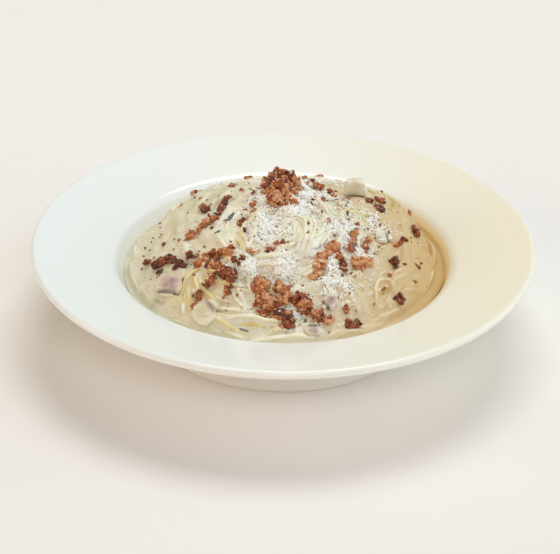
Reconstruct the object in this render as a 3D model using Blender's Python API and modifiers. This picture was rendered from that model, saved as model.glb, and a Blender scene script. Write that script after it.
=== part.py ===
"""Spaghetti carbonara served in its wide-rimmed pasta bowl.

The bowl is a turned porcelain shell: foot ring, deep well, rounded shoulder
and a wide, gently rising rim. The noodles are one heap that fills the well
and stands above it, with a pool of cream sauce round its foot. Mushroom
slices, a drift of grated cheese and small piles of chopped bacon lie on the
heap, each a solid of its own.

Lengths are in metres, +Z is up, and the origin is at the middle of the foot
ring, on the surface that the bowl stands on.
"""
import math

import bmesh
import bpy
from mathutils import Matrix, Vector, noise
from mathutils.bvhtree import BVHTree

# ---------------------------------------------------------------- dimensions
GAP = 0.0003                 # clearance between pieces that touch
CLEAR_OF_FACETS = 1.5 * GAP  # the same over the heap, whose surface is faceted

# bowl
RIM_RADIUS = 0.140
RIM_HEIGHT = 0.0526
LIP_RADIUS = 0.0022          # half the thickness of the rounded lip
SHOULDER_RADIUS = 0.009      # rounding between the well's wall and the rim
SHOULDER_SLOPE = math.radians(30.0)
SHOULDER_REACH = 0.0961      # where the shoulder has that slope
SHOULDER_HEIGHT = 0.0429
RIM_SLOPE = math.radians(12.2)
WALL_SLOPE = math.radians(65.0)
FLOOR_HEIGHT = 0.0088        # inside floor of the well
WALL_THICKNESS = 0.0046
OUTER_WALL_TOP = -25.0       # degrees on the well's arc, where the outer wall begins
OUTER_WALL_FOOT = -47.0      # and where it meets the foot ring
UNDER_RIM = [                # underside of the rim, measured from the shoulder's centre
    (0.0215, 0.0098),
    (0.0035, 0.0051),
    (-0.0011, 0.0034),
]
FOOT_RADIUS = 0.0779
FOOT_WIDTH = 0.0055
FOOT_FLARE = [               # outer side of the foot ring: beyond its radius, height
    (0.0034, 0.0155),
    (0.0022, 0.0110),
    (0.0007, 0.0045),
]
FOOT_EDGE = 0.0009           # bevel of the ring's outer edge
FOOT_INNER_EDGE = 0.0006
FOOT_DRAFT = 0.0014          # how far the ring's inner side leans in
FOOT_RECESS = 0.0034         # height of the underside inside the ring
TURN_STEPS = 52

# food
SAUCE_LEVEL = 0.0355
HEAP_RADIUS = 0.0870         # mean outline of the noodles at the sauce
BASE_RISE = 0.020            # broad lower part of the heap
BASE_FLATNESS = 5            # the higher, the longer the base stays level
NEST_RISE = 0.0145           # twisted nest that stands on it
NEST_CENTRE = (0.005, 0.010)
NEST_RADIUS = 0.078
NEST_STEEPNESS = 1.15
SWELLS = [                   # fuller places of the heap: x, y, spread, height
    (-0.001, 0.017, 0.010, 0.0055),
    (0.064, 0.034, 0.017, 0.0080),
    (-0.052, 0.038, 0.020, 0.0040),
    (0.035, 0.045, 0.015, 0.0020),
]
COIL_PITCH = 0.011           # spacing of the coarse folds of the nest
COIL_RELIEF = 0.0007
LUMP_RELIEF = 0.0012         # random unevenness of the heap
LUMP_SCALE = 55.0            # lumps per metre
FLANK_SHARE = 0.6            # share of the lower sphere that becomes the heap's flank
HEAP_SEGMENTS = 46
HEAP_ROWS = 22
CHEESE_CENTRE = (0.002, -0.0235)
CHEESE_REACH = (0.0155, 0.0230)
CHEESE_DEPTH = 0.0016
CHEESE_GRAIN = 120.0         # lumps per metre in the drift of cheese
BACON_GRAIN = 260.0          # and in the piles of bacon
RIM_OF_PILE = 0.0006         # thickness of a pile at its edge

# name: centre x, y, half length, half width, turn in degrees, height
BACON_PILES = {
    "bacon_crown": (-0.0010, 0.0165, 0.0120, 0.0098, 4.0, 0.0070),
    "bacon_trail": (-0.0400, 0.0020, 0.0180, 0.0032, 57.0, 0.0034),
    "bacon_left": (-0.0650, -0.0235, 0.0120, 0.0045, -38.0, 0.0034),
    "bacon_centre_left": (-0.0335, -0.0450, 0.0135, 0.0078, -50.0, 0.0042),
    "bacon_front": (0.0060, -0.0665, 0.0220, 0.0068, -12.0, 0.0042),
    "bacon_right": (0.0240, -0.0420, 0.0120, 0.0050, 66.0, 0.0036),
    "bacon_far_right": (0.0430, -0.0310, 0.0125, 0.0044, 76.0, 0.0032),
}

# name: centre x, y, cap width, length, thickness, turn in degrees
MUSHROOM_SLICES = {
    "mushroom_slice_left": (-0.0620, -0.0435, 0.0180, 0.0140, 0.0026, -14.0),
    "mushroom_slice_front_left": (-0.0395, -0.0660, 0.0145, 0.0155, 0.0026, 104.0),
    "mushroom_slice_front": (0.0160, -0.0790, 0.0085, 0.0072, 0.0024, 8.0),
    "mushroom_slice_centre": (0.0245, -0.0620, 0.0085, 0.0068, 0.0024, 20.0),
    "mushroom_slice_right": (0.0555, -0.0105, 0.0122, 0.0098, 0.0026, 95.0),
    "mushroom_slice_back": (0.0340, 0.0080, 0.0102, 0.0085, 0.0024, 70.0),
}
SUNK_SHARE = 0.2             # share of a slice's thickness that lies in the noodles
CHUNK_CENTRE = (0.0392, 0.0260)
CHUNK_SIZE = (0.0145, 0.0040, 0.0100)
CHUNK_EDGE = 0.0006          # bevel of the chunk's edges
CHUNK_RISE = 0.30            # its middle over the heap, as a share of its height
CHUNK_LEAN = -14.0           # degrees backwards
CHUNK_TURN = 6.0             # degrees


# ------------------------------------------------------------------- helpers
def principled(name, colour, roughness):
    """One plain Principled material."""
    material = bpy.data.materials.new(name)
    material.use_nodes = True
    shader = material.node_tree.nodes["Principled BSDF"]
    shader.inputs["Base Color"].default_value = (*colour, 1.0)
    shader.inputs["Roughness"].default_value = roughness
    shader.inputs["Metallic"].default_value = 0.0
    material.diffuse_color = (*colour, 1.0)
    return material


def add_object(name, mesh, collection, material=None):
    """Link a mesh as a named object, shaded smooth up to sharp corners."""
    item = bpy.data.objects.new(name, mesh)
    collection.objects.link(item)
    if material:
        mesh.materials.append(material)
    mesh.shade_smooth()
    mesh.set_sharp_from_angle(angle=math.radians(50))
    return item


def arc(centre, radius, start, end, count):
    """Points of an arc in the profile plane; angles are in degrees."""
    angles = [math.radians(start + (end - start) * i / (count - 1)) for i in range(count)]
    return [(centre[0] + radius * math.cos(a), centre[1] + radius * math.sin(a)) for a in angles]


def turned(name, profile, collection, material):
    """Turn a profile of (radius, height) points about Z."""
    mesh = bpy.data.meshes.new(name)
    points = [(radius, 0.0, height) for radius, height in profile]
    edges = [(i, i + 1) for i in range(len(points) - 1)]
    mesh.from_pydata(points, edges, [])
    item = add_object(name, mesh, collection, material)
    screw = item.modifiers.new("turn", "SCREW")
    screw.steps = TURN_STEPS
    screw.render_steps = TURN_STEPS
    screw.use_merge_vertices = True
    screw.merge_threshold = 0.00001
    screw.use_smooth_shade = True
    return item


# ---------------------------------------------------------------------- bowl
# The inside of the well is an arc that leaves the flat floor and meets the
# shoulder's arc at the wall's slope.
SHOULDER_CENTRE = (SHOULDER_REACH + SHOULDER_RADIUS * math.sin(SHOULDER_SLOPE),
                   SHOULDER_HEIGHT - SHOULDER_RADIUS * math.cos(SHOULDER_SLOPE))
WALL_TOP = (SHOULDER_CENTRE[0] - SHOULDER_RADIUS * math.sin(WALL_SLOPE),
            SHOULDER_CENTRE[1] + SHOULDER_RADIUS * math.cos(WALL_SLOPE))
WELL_RADIUS = (WALL_TOP[1] - FLOOR_HEIGHT) / (1.0 - math.cos(WALL_SLOPE))
WELL_CENTRE = (WALL_TOP[0] - WELL_RADIUS * math.sin(WALL_SLOPE), FLOOR_HEIGHT + WELL_RADIUS)


def well_radius_at(height):
    """Inside radius of the well at a height on its curved wall."""
    below = min(WELL_RADIUS, WELL_CENTRE[1] - height)
    return WELL_CENTRE[0] + math.sqrt(WELL_RADIUS ** 2 - below ** 2)


def bowl_profile():
    """Closed outline from the floor's middle under the bowl and back inside."""
    lip = (RIM_RADIUS - LIP_RADIUS, RIM_HEIGHT - LIP_RADIUS)
    underside = [(SHOULDER_CENTRE[0] + out, SHOULDER_CENTRE[1] + up) for out, up in UNDER_RIM]
    outer_wall = arc(WELL_CENTRE, WELL_RADIUS + WALL_THICKNESS, OUTER_WALL_TOP, OUTER_WALL_FOOT, 4)
    foot_inside = FOOT_RADIUS - FOOT_WIDTH
    foot = [(FOOT_RADIUS + out, up) for out, up in FOOT_FLARE]
    foot += [
        (FOOT_RADIUS, FOOT_EDGE),
        (FOOT_RADIUS - FOOT_EDGE, 0.0),
        (foot_inside + FOOT_INNER_EDGE, 0.0),
        (foot_inside, FOOT_INNER_EDGE),
        (foot_inside - FOOT_DRAFT, FOOT_RECESS),
        (0.0, FOOT_RECESS),
    ]
    inner_wall = arc(WELL_CENTRE, WELL_RADIUS, -90.0, math.degrees(WALL_SLOPE) - 90.0, 7)
    shoulder = arc(SHOULDER_CENTRE, SHOULDER_RADIUS, 90.0 + math.degrees(WALL_SLOPE),
                   90.0 + math.degrees(RIM_SLOPE), 5)
    rim_lip = arc(lip, LIP_RADIUS, 90.0 + math.degrees(RIM_SLOPE), -90.0, 7)
    down_outside = rim_lip + underside + outer_wall + foot
    up_inside = [(0.0, FLOOR_HEIGHT)] + inner_wall + shoulder[1:]
    return up_inside + down_outside


def pasta_bowl(collection):
    glaze = principled("white_porcelain", (0.86, 0.85, 0.80), 0.12)
    return turned("pasta_bowl", bowl_profile(), collection, glaze)


# ---------------------------------------------------------------------- heap
def heap_outline(angle):
    """Radius of the noodles at the sauce's level, uneven all round."""
    swell = (1.4 * math.sin(angle) + 1.0 * math.cos(angle)
             + 0.8 * math.cos(3 * angle + 0.5) + 0.5 * math.cos(5 * angle + 2.0))
    return HEAP_RADIUS + swell * 0.001


def heap_height(x, y):
    """Height of the noodles' surface at a place seen from above."""
    angle = math.atan2(y, x)
    reach = min(1.0, math.hypot(x, y) / heap_outline(angle))
    base = BASE_RISE * (1.0 - reach ** BASE_FLATNESS)
    from_nest = math.hypot(x - NEST_CENTRE[0], y - NEST_CENTRE[1])
    nest = NEST_RISE * (1.0 - min(1.0, from_nest / NEST_RADIUS) ** 2) ** NEST_STEEPNESS
    turn = math.atan2(y - NEST_CENTRE[1], x - NEST_CENTRE[0])
    coils = COIL_RELIEF * math.cos(math.tau * from_nest / COIL_PITCH + turn)
    lumps = LUMP_RELIEF * noise.noise(Vector((x, y, 0.3)) * LUMP_SCALE)
    swell = sum(rise * math.exp(-((x - at_x) ** 2 + (y - at_y) ** 2) / (2.0 * spread ** 2))
                for at_x, at_y, spread, rise in SWELLS)
    fade = 1.0 - reach ** 4
    return SAUCE_LEVEL + base + nest + (swell + coils + lumps) * fade


def on_sphere(point):
    """Latitude from -1 to 1 and longitude in radians of a unit sphere's point."""
    latitude = math.asin(max(-1.0, min(1.0, point.z))) / (math.pi / 2)
    return latitude, math.atan2(point.y, point.x)


def heap_point(latitude, longitude):
    """Where a point of a unit sphere goes on the heap: the upper half spreads
    over the surface, the lower half runs down the flank and under the heap."""
    outline = heap_outline(longitude)
    if latitude >= 0.0:
        reach = 1.0 - latitude
        x = outline * reach * math.cos(longitude)
        y = outline * reach * math.sin(longitude)
        return Vector((x, y, heap_height(x, y)))
    depth = -latitude
    underside = FLOOR_HEIGHT + 1.5 * GAP
    if depth < FLANK_SHARE:
        height = SAUCE_LEVEL + (underside - SAUCE_LEVEL) * depth / FLANK_SHARE
        radius = outline * well_radius_at(height) / well_radius_at(SAUCE_LEVEL)
    else:
        height = underside
        share = (1.0 - depth) / (1.0 - FLANK_SHARE)
        radius = outline * well_radius_at(height) / well_radius_at(SAUCE_LEVEL) * share
    return Vector((radius * math.cos(longitude), radius * math.sin(longitude), height))


def heap_mesh(name, grow):
    """The heap's closed surface, moved outwards by `grow`."""
    shape = bmesh.new()
    bmesh.ops.create_uvsphere(shape, u_segments=HEAP_SEGMENTS, v_segments=HEAP_ROWS, radius=1.0)
    for vertex in shape.verts:
        latitude, longitude = on_sphere(vertex.co)
        vertex.co = heap_point(latitude, longitude)
    shape.normal_update()
    moves = [vertex.normal * grow for vertex in shape.verts]
    for vertex, move in zip(shape.verts, moves):
        vertex.co += move
    mesh = bpy.data.meshes.new(name)
    shape.to_mesh(mesh)
    shape.free()
    return mesh


def spaghetti_heap(collection):
    noodle = principled("creamed_noodle", (0.80, 0.71, 0.50), 0.45)
    return add_object("spaghetti_heap", heap_mesh("spaghetti_heap", 0.0), collection, noodle)


def heap_cutter(cutters):
    """The heap grown by the clearance, which trims what lies against it."""
    cutter = add_object("heap_cutter", heap_mesh("heap_cutter", GAP), cutters)
    cutter.hide_render = True
    cutter.display_type = "WIRE"
    return cutter


def trim(item, cutter):
    """Cut a piece back from the heap."""
    cut = item.modifiers.new("clear_of_heap", "BOOLEAN")
    cut.operation = "DIFFERENCE"
    cut.solver = "MANIFOLD"
    cut.object = cutter


# --------------------------------------------------------------------- sauce
def cream_sauce(collection, cutter):
    """The pool between the well's wall and the foot of the heap."""
    cream = principled("cream_sauce", (0.60, 0.53, 0.39), 0.30)
    top = math.degrees(math.asin((WELL_CENTRE[1] - SAUCE_LEVEL) / WELL_RADIUS))
    wall = arc(WELL_CENTRE, WELL_RADIUS - GAP, -top, -90.0, 6)
    profile = [(0.0, SAUCE_LEVEL), *wall, (0.0, FLOOR_HEIGHT + GAP)]
    pool = turned("cream_sauce", profile, collection, cream)
    trim(pool, cutter)
    return pool


# ------------------------------------------------------------ draped toppings
def ground_of(heap):
    """A function that gives the height of the heap's faceted surface."""
    shape = bmesh.new()
    shape.from_mesh(heap.data)
    tree = BVHTree.FromBMesh(shape)
    shape.free()
    above = 2.0 * RIM_HEIGHT

    def ground(x, y):
        hit = tree.ray_cast(Vector((x, y, above)), Vector((0.0, 0.0, -1.0)))
        return hit[0].z if hit[0] else SAUCE_LEVEL

    return ground


def draped(name, place, outline, height, ground, segments, rows, collection, material):
    """A low pile whose underside follows the ground at the clearance.

    It starts as a sphere: the upper half spreads into the pile's top, the
    lower half into its underside, and the equator is the pile's edge.
    """
    shape = bmesh.new()
    bmesh.ops.create_uvsphere(shape, u_segments=segments, v_segments=rows, radius=1.0)
    for vertex in shape.verts:
        latitude, longitude = on_sphere(vertex.co)
        reach = 1.0 - abs(latitude)
        x, y = place(reach * outline(longitude), longitude)
        vertex.co = (x, y, ground(x, y) + CLEAR_OF_FACETS)
        if latitude > -0.001:
            vertex.co.z += RIM_OF_PILE + height(reach, x, y)
    mesh = bpy.data.meshes.new(name)
    shape.to_mesh(mesh)
    shape.free()
    return add_object(name, mesh, collection, material)


def cheese_outline(angle):
    """Uneven edge of the drift of cheese, as a share of its reach."""
    return 1.0 + 0.08 * math.cos(3 * angle + 1.0) + 0.05 * math.cos(7 * angle)


def cheese_depth(reach, x, y):
    """Thickness of the drift above its edge."""
    crumbs = 0.75 + 0.45 * noise.noise(Vector((x, y, 1.7)) * CHEESE_GRAIN)
    return CHEESE_DEPTH * max(0.0, 1.0 - reach ** 3) * crumbs


def grated_cheese(collection, ground):
    shred = principled("grated_cheese", (0.79, 0.78, 0.68), 0.60)

    def place(share, angle):
        return (CHEESE_CENTRE[0] + CHEESE_REACH[0] * share * math.cos(angle),
                CHEESE_CENTRE[1] + CHEESE_REACH[1] * share * math.sin(angle))

    return draped("grated_cheese", place, cheese_outline, cheese_depth, ground,
                  24, 12, collection, shred)


def bacon_pile(name, size, seed, ground, collection, material):
    """A small pile of chopped bacon with a ragged edge and a lumpy top."""
    centre_x, centre_y, half_length, half_width, degrees, rise = size
    turn = Matrix.Rotation(math.radians(degrees), 2)

    def ragged(angle):
        return (1.0 + 0.16 * math.cos(3 * angle + seed) + 0.10 * math.cos(5 * angle + 2.1 * seed)
                + 0.06 * math.cos(8 * angle - seed))

    def place(share, angle):
        along = Vector((half_length * math.cos(angle), half_width * math.sin(angle))) * share
        along.rotate(turn)
        return centre_x + along.x, centre_y + along.y

    def lumps(reach, x, y):
        grain = 0.85 + 0.55 * noise.noise(Vector((x, y, 0.5 * seed)) * BACON_GRAIN)
        return rise * math.sqrt(max(0.0, 1.0 - reach ** 2.2)) * grain

    return draped(name, place, ragged, lumps, ground, 16, 8, collection, material)


# ----------------------------------------------------------------- mushrooms
def heap_slope(x, y):
    """Rotation that lays a flat piece along the heap's surface."""
    step = 0.006
    rise_x = (heap_height(x + step, y) - heap_height(x - step, y)) / (2 * step)
    rise_y = (heap_height(x, y + step) - heap_height(x, y - step)) / (2 * step)
    normal = Vector((-rise_x, -rise_y, 1.0)).normalized()
    return Vector((0.0, 0.0, 1.0)).rotation_difference(normal).to_matrix().to_4x4()


def mushroom_edge(angle):
    """Outline of a sliced button mushroom: a domed cap over a short stem."""
    if math.sin(angle) >= -0.05:
        return Vector((0.5 * math.cos(angle), 0.15 + 0.42 * max(0.0, math.sin(angle)), 0.0))
    stem = 0.18 + 0.05 * abs(math.sin(2 * angle))
    x = stem * math.cos(angle) / max(0.35, abs(math.cos(angle)) ** 0.5)
    return Vector((x, 0.12 + 0.62 * math.sin(angle), 0.0))


def mushroom_slice(name, size, ground, collection, material, cutter):
    """A thin slice lying on the heap, its underside trimmed to fit."""
    x, y, width, length, thickness, degrees = size
    shape = bmesh.new()
    bmesh.ops.create_circle(shape, cap_ends=True, segments=26, radius=1.0)
    for vertex in shape.verts:
        edge = mushroom_edge(math.atan2(vertex.co.y, vertex.co.x))
        vertex.co = (edge.x * width, edge.y * length, 0.0)
    base = shape.faces[:]
    lifted = bmesh.ops.extrude_face_region(shape, geom=base)
    top = [v for v in lifted["geom"] if isinstance(v, bmesh.types.BMVert)]
    bmesh.ops.translate(shape, verts=top, vec=(0.0, 0.0, thickness))
    bmesh.ops.recalc_face_normals(shape, faces=shape.faces)
    lie = (Matrix.Translation((x, y, ground(x, y))) @ heap_slope(x, y)
           @ Matrix.Rotation(math.radians(degrees), 4, "Z")
           @ Matrix.Translation((0.0, 0.0, -SUNK_SHARE * thickness)))
    bmesh.ops.transform(shape, matrix=lie, verts=shape.verts)
    mesh = bpy.data.meshes.new(name)
    shape.to_mesh(mesh)
    shape.free()
    item = add_object(name, mesh, collection, material)
    trim(item, cutter)
    return item


def mushroom_chunk(ground, collection, material, cutter):
    """A thick square-cut piece standing at the back of the heap."""
    shape = bmesh.new()
    bmesh.ops.create_cube(shape, size=1.0)
    bmesh.ops.scale(shape, vec=CHUNK_SIZE, verts=shape.verts)
    bmesh.ops.bevel(shape, geom=shape.edges[:], offset=CHUNK_EDGE, segments=1, profile=0.5,
                    affect="EDGES", material=-1)
    x, y = CHUNK_CENTRE
    lean = (Matrix.Rotation(math.radians(CHUNK_LEAN), 4, "X")
            @ Matrix.Rotation(math.radians(CHUNK_TURN), 4, "Z"))
    stand = Matrix.Translation((x, y, ground(x, y) + CHUNK_RISE * CHUNK_SIZE[2])) @ lean
    bmesh.ops.transform(shape, matrix=stand, verts=shape.verts)
    mesh = bpy.data.meshes.new("mushroom_chunk_back")
    shape.to_mesh(mesh)
    shape.free()
    item = add_object("mushroom_chunk_back", mesh, collection, material)
    trim(item, cutter)
    return item


# --------------------------------------------------------------------- build
def clear_scene():
    for item in list(bpy.data.objects):
        bpy.data.objects.remove(item, do_unlink=True)


def main():
    clear_scene()
    scene = bpy.context.scene
    parts = bpy.data.collections.new("spaghetti_carbonara")
    cutters = bpy.data.collections.new("cutters")
    scene.collection.children.link(parts)
    scene.collection.children.link(cutters)

    pasta_bowl(parts)
    heap = spaghetti_heap(parts)
    ground = ground_of(heap)
    cutter = heap_cutter(cutters)
    cream_sauce(parts, cutter)
    grated_cheese(parts, ground)

    bacon = principled("browned_bacon", (0.27, 0.09, 0.04), 0.55)
    for seed, (name, size) in enumerate(BACON_PILES.items(), start=1):
        bacon_pile(name, size, seed, ground, parts, bacon)

    mushroom = principled("sliced_mushroom", (0.52, 0.45, 0.38), 0.50)
    for name, size in MUSHROOM_SLICES.items():
        mushroom_slice(name, size, ground, parts, mushroom, cutter)
    mushroom_chunk(ground, parts, mushroom, cutter)


main()
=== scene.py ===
# %% [markdown]
# # A bowl of spaghetti carbonara
#
# The dish is a wide-rimmed porcelain bowl, a heap of spaghetti bound in cream
# sauce, and toppings: chopped bacon, sliced mushroom and grated hard cheese.
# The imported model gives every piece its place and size. Here the plain solids
# get their real surfaces: the heap becomes single strands over a core of
# sauce, and each pile of topping becomes the pieces it is made of.

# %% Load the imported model
import math
from functools import partial

import bmesh
import bpy
import numpy as np
from mathutils import Matrix, Vector, noise
from mathutils.bvhtree import BVHTree


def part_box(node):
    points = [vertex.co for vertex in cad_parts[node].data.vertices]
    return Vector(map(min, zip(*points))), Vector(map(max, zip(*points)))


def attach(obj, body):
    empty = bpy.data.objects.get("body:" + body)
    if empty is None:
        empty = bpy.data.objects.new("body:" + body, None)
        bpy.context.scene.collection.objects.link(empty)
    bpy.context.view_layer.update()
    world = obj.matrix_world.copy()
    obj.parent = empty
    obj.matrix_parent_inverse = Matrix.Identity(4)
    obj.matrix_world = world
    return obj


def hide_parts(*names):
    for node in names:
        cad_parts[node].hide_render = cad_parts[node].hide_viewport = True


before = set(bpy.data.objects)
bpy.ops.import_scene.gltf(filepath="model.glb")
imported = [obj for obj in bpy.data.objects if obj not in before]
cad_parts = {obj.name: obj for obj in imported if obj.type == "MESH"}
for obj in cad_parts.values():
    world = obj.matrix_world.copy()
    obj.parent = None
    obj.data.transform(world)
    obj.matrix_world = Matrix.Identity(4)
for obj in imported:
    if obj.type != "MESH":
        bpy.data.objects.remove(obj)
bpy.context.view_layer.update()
MM = 0.001
WELD = 0.01 * MM  # points nearer than this become one
rng = np.random.default_rng(20)
noise.seed_set(19)  # else noise_vector differs from run to run

# %% [markdown]
# ## Small helpers
#
# Colours are written as sRGB hex values, because that is how a colour picker
# gives them, and Blender's sockets want linear light. One function adds any
# shader node: its settings are attributes, its inputs are values or links.
# A new material hands back that function, bound to its own tree, as "add".


# %% Colour and node helpers
SHARE, UNDER, OVER = 0, 6, 7  # inputs of a Mix node of colours


def linear(hex_colour):
    """An sRGB hex colour as linear RGBA."""
    parts = [int(hex_colour[i:i + 2], 16) / 255 for i in (1, 3, 5)]
    return tuple(p / 12.92 if p <= 0.04045 else ((p + 0.055) / 1.055) ** 2.4 for p in parts) + (1.0,)


def set_inputs(node, inputs):
    """Set inputs. Each is a value, an output socket, or a node whose first output feeds it."""
    for key, value in inputs.items():
        if isinstance(value, bpy.types.Node):
            value = next(output for output in value.outputs if output.enabled)
        if isinstance(value, bpy.types.NodeSocket):
            node.id_data.links.new(value, node.inputs[key])
        else:
            node.inputs[key].default_value = value


def add_node(tree, kind, inputs=None, stops=None, **settings):
    """Add a shader node; stops are the positions and colours of a ramp."""
    node = tree.nodes.new("ShaderNode" + kind)
    for key, value in settings.items():
        setattr(node, key, value)
    set_inputs(node, inputs or {})
    for index, (position, colour) in enumerate(stops or []):
        elements = node.color_ramp.elements
        stop = elements[index] if index < len(elements) else elements.new(position)
        stop.position = position
        stop.color = linear(colour)
    return node


def new_material(name):
    """A material, what adds its nodes, its Principled shader and a millimetre scale.

    Object coordinates are in metres, so a Mapping node turns them to
    millimetres and a noise scale of 1 / 3 then repeats about every 3 mm.
    """
    material = bpy.data.materials.new(name)
    material.use_nodes = True
    add = partial(add_node, material.node_tree)
    place = add("TexCoord").outputs["Object"]
    in_mm = add("Mapping", {"Vector": place, "Scale": (1 / MM,) * 3})
    return material, add, material.node_tree.nodes["Principled BSDF"], in_mm.outputs["Vector"]


def relief(add, in_mm, size, detail, strength, height):
    """A fine noise that tilts the surface; its size and height are in millimetres."""
    fine = add("TexNoise", {"Vector": in_mm, "Scale": 1 / size, "Detail": detail})
    return add("Bump", {"Height": fine, "Strength": strength, "Distance": height * MM})


# %% Mesh helpers
def mesh_from(name, shape):
    """A bmesh as a mesh; the bmesh is freed."""
    mesh = bpy.data.meshes.new(name)
    shape.to_mesh(mesh)
    shape.free()
    return mesh


def put_in_scene(name, data):
    """An object that shows a mesh, a curve, a lamp or a camera."""
    thing = bpy.data.objects.new(name, data)
    bpy.context.scene.collection.objects.link(thing)
    return thing


def finish_piece(name, shape, material, nodes=(), smooth_angle=None):
    """A bmesh or mesh as a piece that rides on the dish and stands for CAD nodes."""
    mesh = mesh_from(name, shape) if isinstance(shape, bmesh.types.BMesh) else shape
    mesh.shade_smooth()
    if smooth_angle:
        mesh.set_sharp_from_angle(angle=math.radians(smooth_angle))
    mesh.materials.append(material)
    piece = put_in_scene(name, mesh)
    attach(piece, "root")
    if nodes:
        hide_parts(*nodes)
    mesh.calc_loop_triangles()
    print(f"{name}: {len(mesh.loop_triangles)} triangles")
    return piece


def spun(outline, steps):
    """A line of places (reach, height) spun about the upright axis, as a bmesh."""
    shape = bmesh.new()
    verts = [shape.verts.new((reach, 0.0, height)) for reach, height in outline]
    edges = [shape.edges.new(pair) for pair in zip(verts, verts[1:])]
    bmesh.ops.spin(shape, geom=verts + edges, cent=(0, 0, 0), axis=(0, 0, 1), angle=math.tau,
                   steps=steps, dvec=(0, 0, 0), use_merge=True)
    bmesh.ops.remove_doubles(shape, verts=shape.verts, dist=WELD)
    return shape



# %% [markdown]
# ## Camera, light and floor
#
# The dish is seen from the front, about 30 degrees above the table, with a
# long lens from a metre away. Cool daylight comes from the right and above,
# and the room glows faintly warm on the left, so the white glaze turns cream
# on the sides that face left. The room's glow is a sky built of soft lobes,
# each one a colour that fades away from its direction.

# %% Camera
CAMERA_DISTANCE = 1.0
CAMERA_ELEVATION = math.radians(29.87)
CAMERA_ROLL = math.radians(0.99)
LENS, SENSOR_WIDTH = 113.7, 36.0  # mm
AIM = Vector((-0.0013, 0.0, 0.0268))

camera_data = bpy.data.cameras.new("camera")
camera_data.lens = LENS
camera_data.sensor_width = SENSOR_WIDTH
camera = put_in_scene("camera", camera_data)
away = Vector((0.0, -math.cos(CAMERA_ELEVATION), math.sin(CAMERA_ELEVATION)))
camera.location = AIM + away * CAMERA_DISTANCE
tilt = Matrix.Rotation(math.pi / 2 - CAMERA_ELEVATION, 4, "X")
camera.rotation_euler = (tilt @ Matrix.Rotation(CAMERA_ROLL, 4, "Z")).to_euler()
bpy.context.scene.camera = camera
print("camera at", [round(c, 3) for c in camera.location])

# %% Lamps: name, place, size in metres, power in watts, colour
LAMPS = [
    ("window_above", (0.2, 0.9, 2.2), (1.4, 1.0), 26.8, "#F5FAFF"),
    ("front_fill", (0.2, -2.2, 1.8), (1.2, 0.8), 20.0, "#FCFFFD"),
    ("left_fill", (-2.2, -0.3, 0.8), (1.0, 0.8), 9.5, "#ECF2FF"),
]


def area_lamp(name, place, size, power, colour):
    """A rectangular lamp that faces the middle of the dish."""
    data = bpy.data.lights.new(name, "AREA")
    data.shape = "RECTANGLE"
    data.size, data.size_y = size
    data.energy = power
    data.color = linear(colour)[:3]
    lamp = put_in_scene(name, data)
    lamp.location = place
    lamp.rotation_euler = (-Vector(place)).to_track_quat("-Z", "Y").to_euler()


for lamp_settings in LAMPS:
    area_lamp(*lamp_settings)

# %% Sky lobes: direction, linear colour at its middle
SKY_LOBES = [
    ((1.0, 0.0, 0.15), (1.40, 1.66, 1.96)),
    ((-1.0, -0.5, 0.2), (0.74, 0.38, 0.08)),
    ((0.0, 1.0, 0.2), (0.40, 0.39, 0.18)),
    ((0.0, -1.0, 0.2), (0.14, 0.06, 0.02)),
]
LOBE_FALL = 3.0  # power of the cosine
ROOM_GLOW = (0.09, 0.10, 0.09)  # everywhere else
BACKDROP = "#F1EDE9"                              # what shows behind the floor's edge


def sky():
    """A dark sky to which each lobe adds its light. It lights the dish, while
    a plain pale backdrop is what is seen behind it."""
    world = bpy.data.worlds.new("studio")
    world.use_nodes = True
    add = partial(add_node, world.node_tree)
    direction = add("TexCoord").outputs["Generated"]
    total = ROOM_GLOW
    for lobe_axis, colour in SKY_LOBES:
        facing = add("VectorMath", {0: direction, 1: tuple(Vector(lobe_axis).normalized())},
                     operation="DOT_PRODUCT")
        ahead = add("Math", {0: facing, 1: 0.0}, operation="MAXIMUM")
        fall = add("Math", {0: ahead, 1: LOBE_FALL}, operation="POWER")
        total = add("VectorMath", {0: fall, 1: colour, 2: total}, operation="MULTIPLY_ADD")
    seen = add("Mix", {SHARE: add("LightPath").outputs["Is Camera Ray"], UNDER: total,
                       OVER: linear(BACKDROP)}, data_type="RGBA")
    set_inputs(world.node_tree.nodes["Background"], {"Color": seen})
    bpy.context.scene.world = world


sky()
bpy.context.scene.view_settings.view_transform = "Standard"

# %% Floor
FLOOR_HALF_WIDTH = 3.0


def pale_floor():
    """Matte painted board, so pale that it shows only the soft shadow."""
    material, add, shader, in_mm = new_material("painted_board")
    grain = add("TexNoise", {"Vector": in_mm, "Scale": 1 / 60, "Detail": 3.0})
    colour = add("ValToRGB", {"Fac": grain}, stops=[(0.0, "#F1ECE8"), (1.0, "#F5F0EC")])
    set_inputs(shader, {"Base Color": colour, "Roughness": 0.9})
    shape = bmesh.new()
    bmesh.ops.create_grid(shape, x_segments=1, y_segments=1, size=FLOOR_HALF_WIDTH)
    mesh = mesh_from("floor", shape)
    mesh.materials.append(material)
    put_in_scene("floor", mesh)


pale_floor()

# %% [markdown]
# ## The bowl
#
# Restaurant porcelain: thick, turned on a jigger, dipped in clear glaze and
# fired. It is round about its axis, so a spin of its outline makes it. The
# outline is a chain of arcs: the well's wall, the rounded shoulder, the nearly
# flat rim and the rolled lip, then back underneath to the foot ring.

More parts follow.
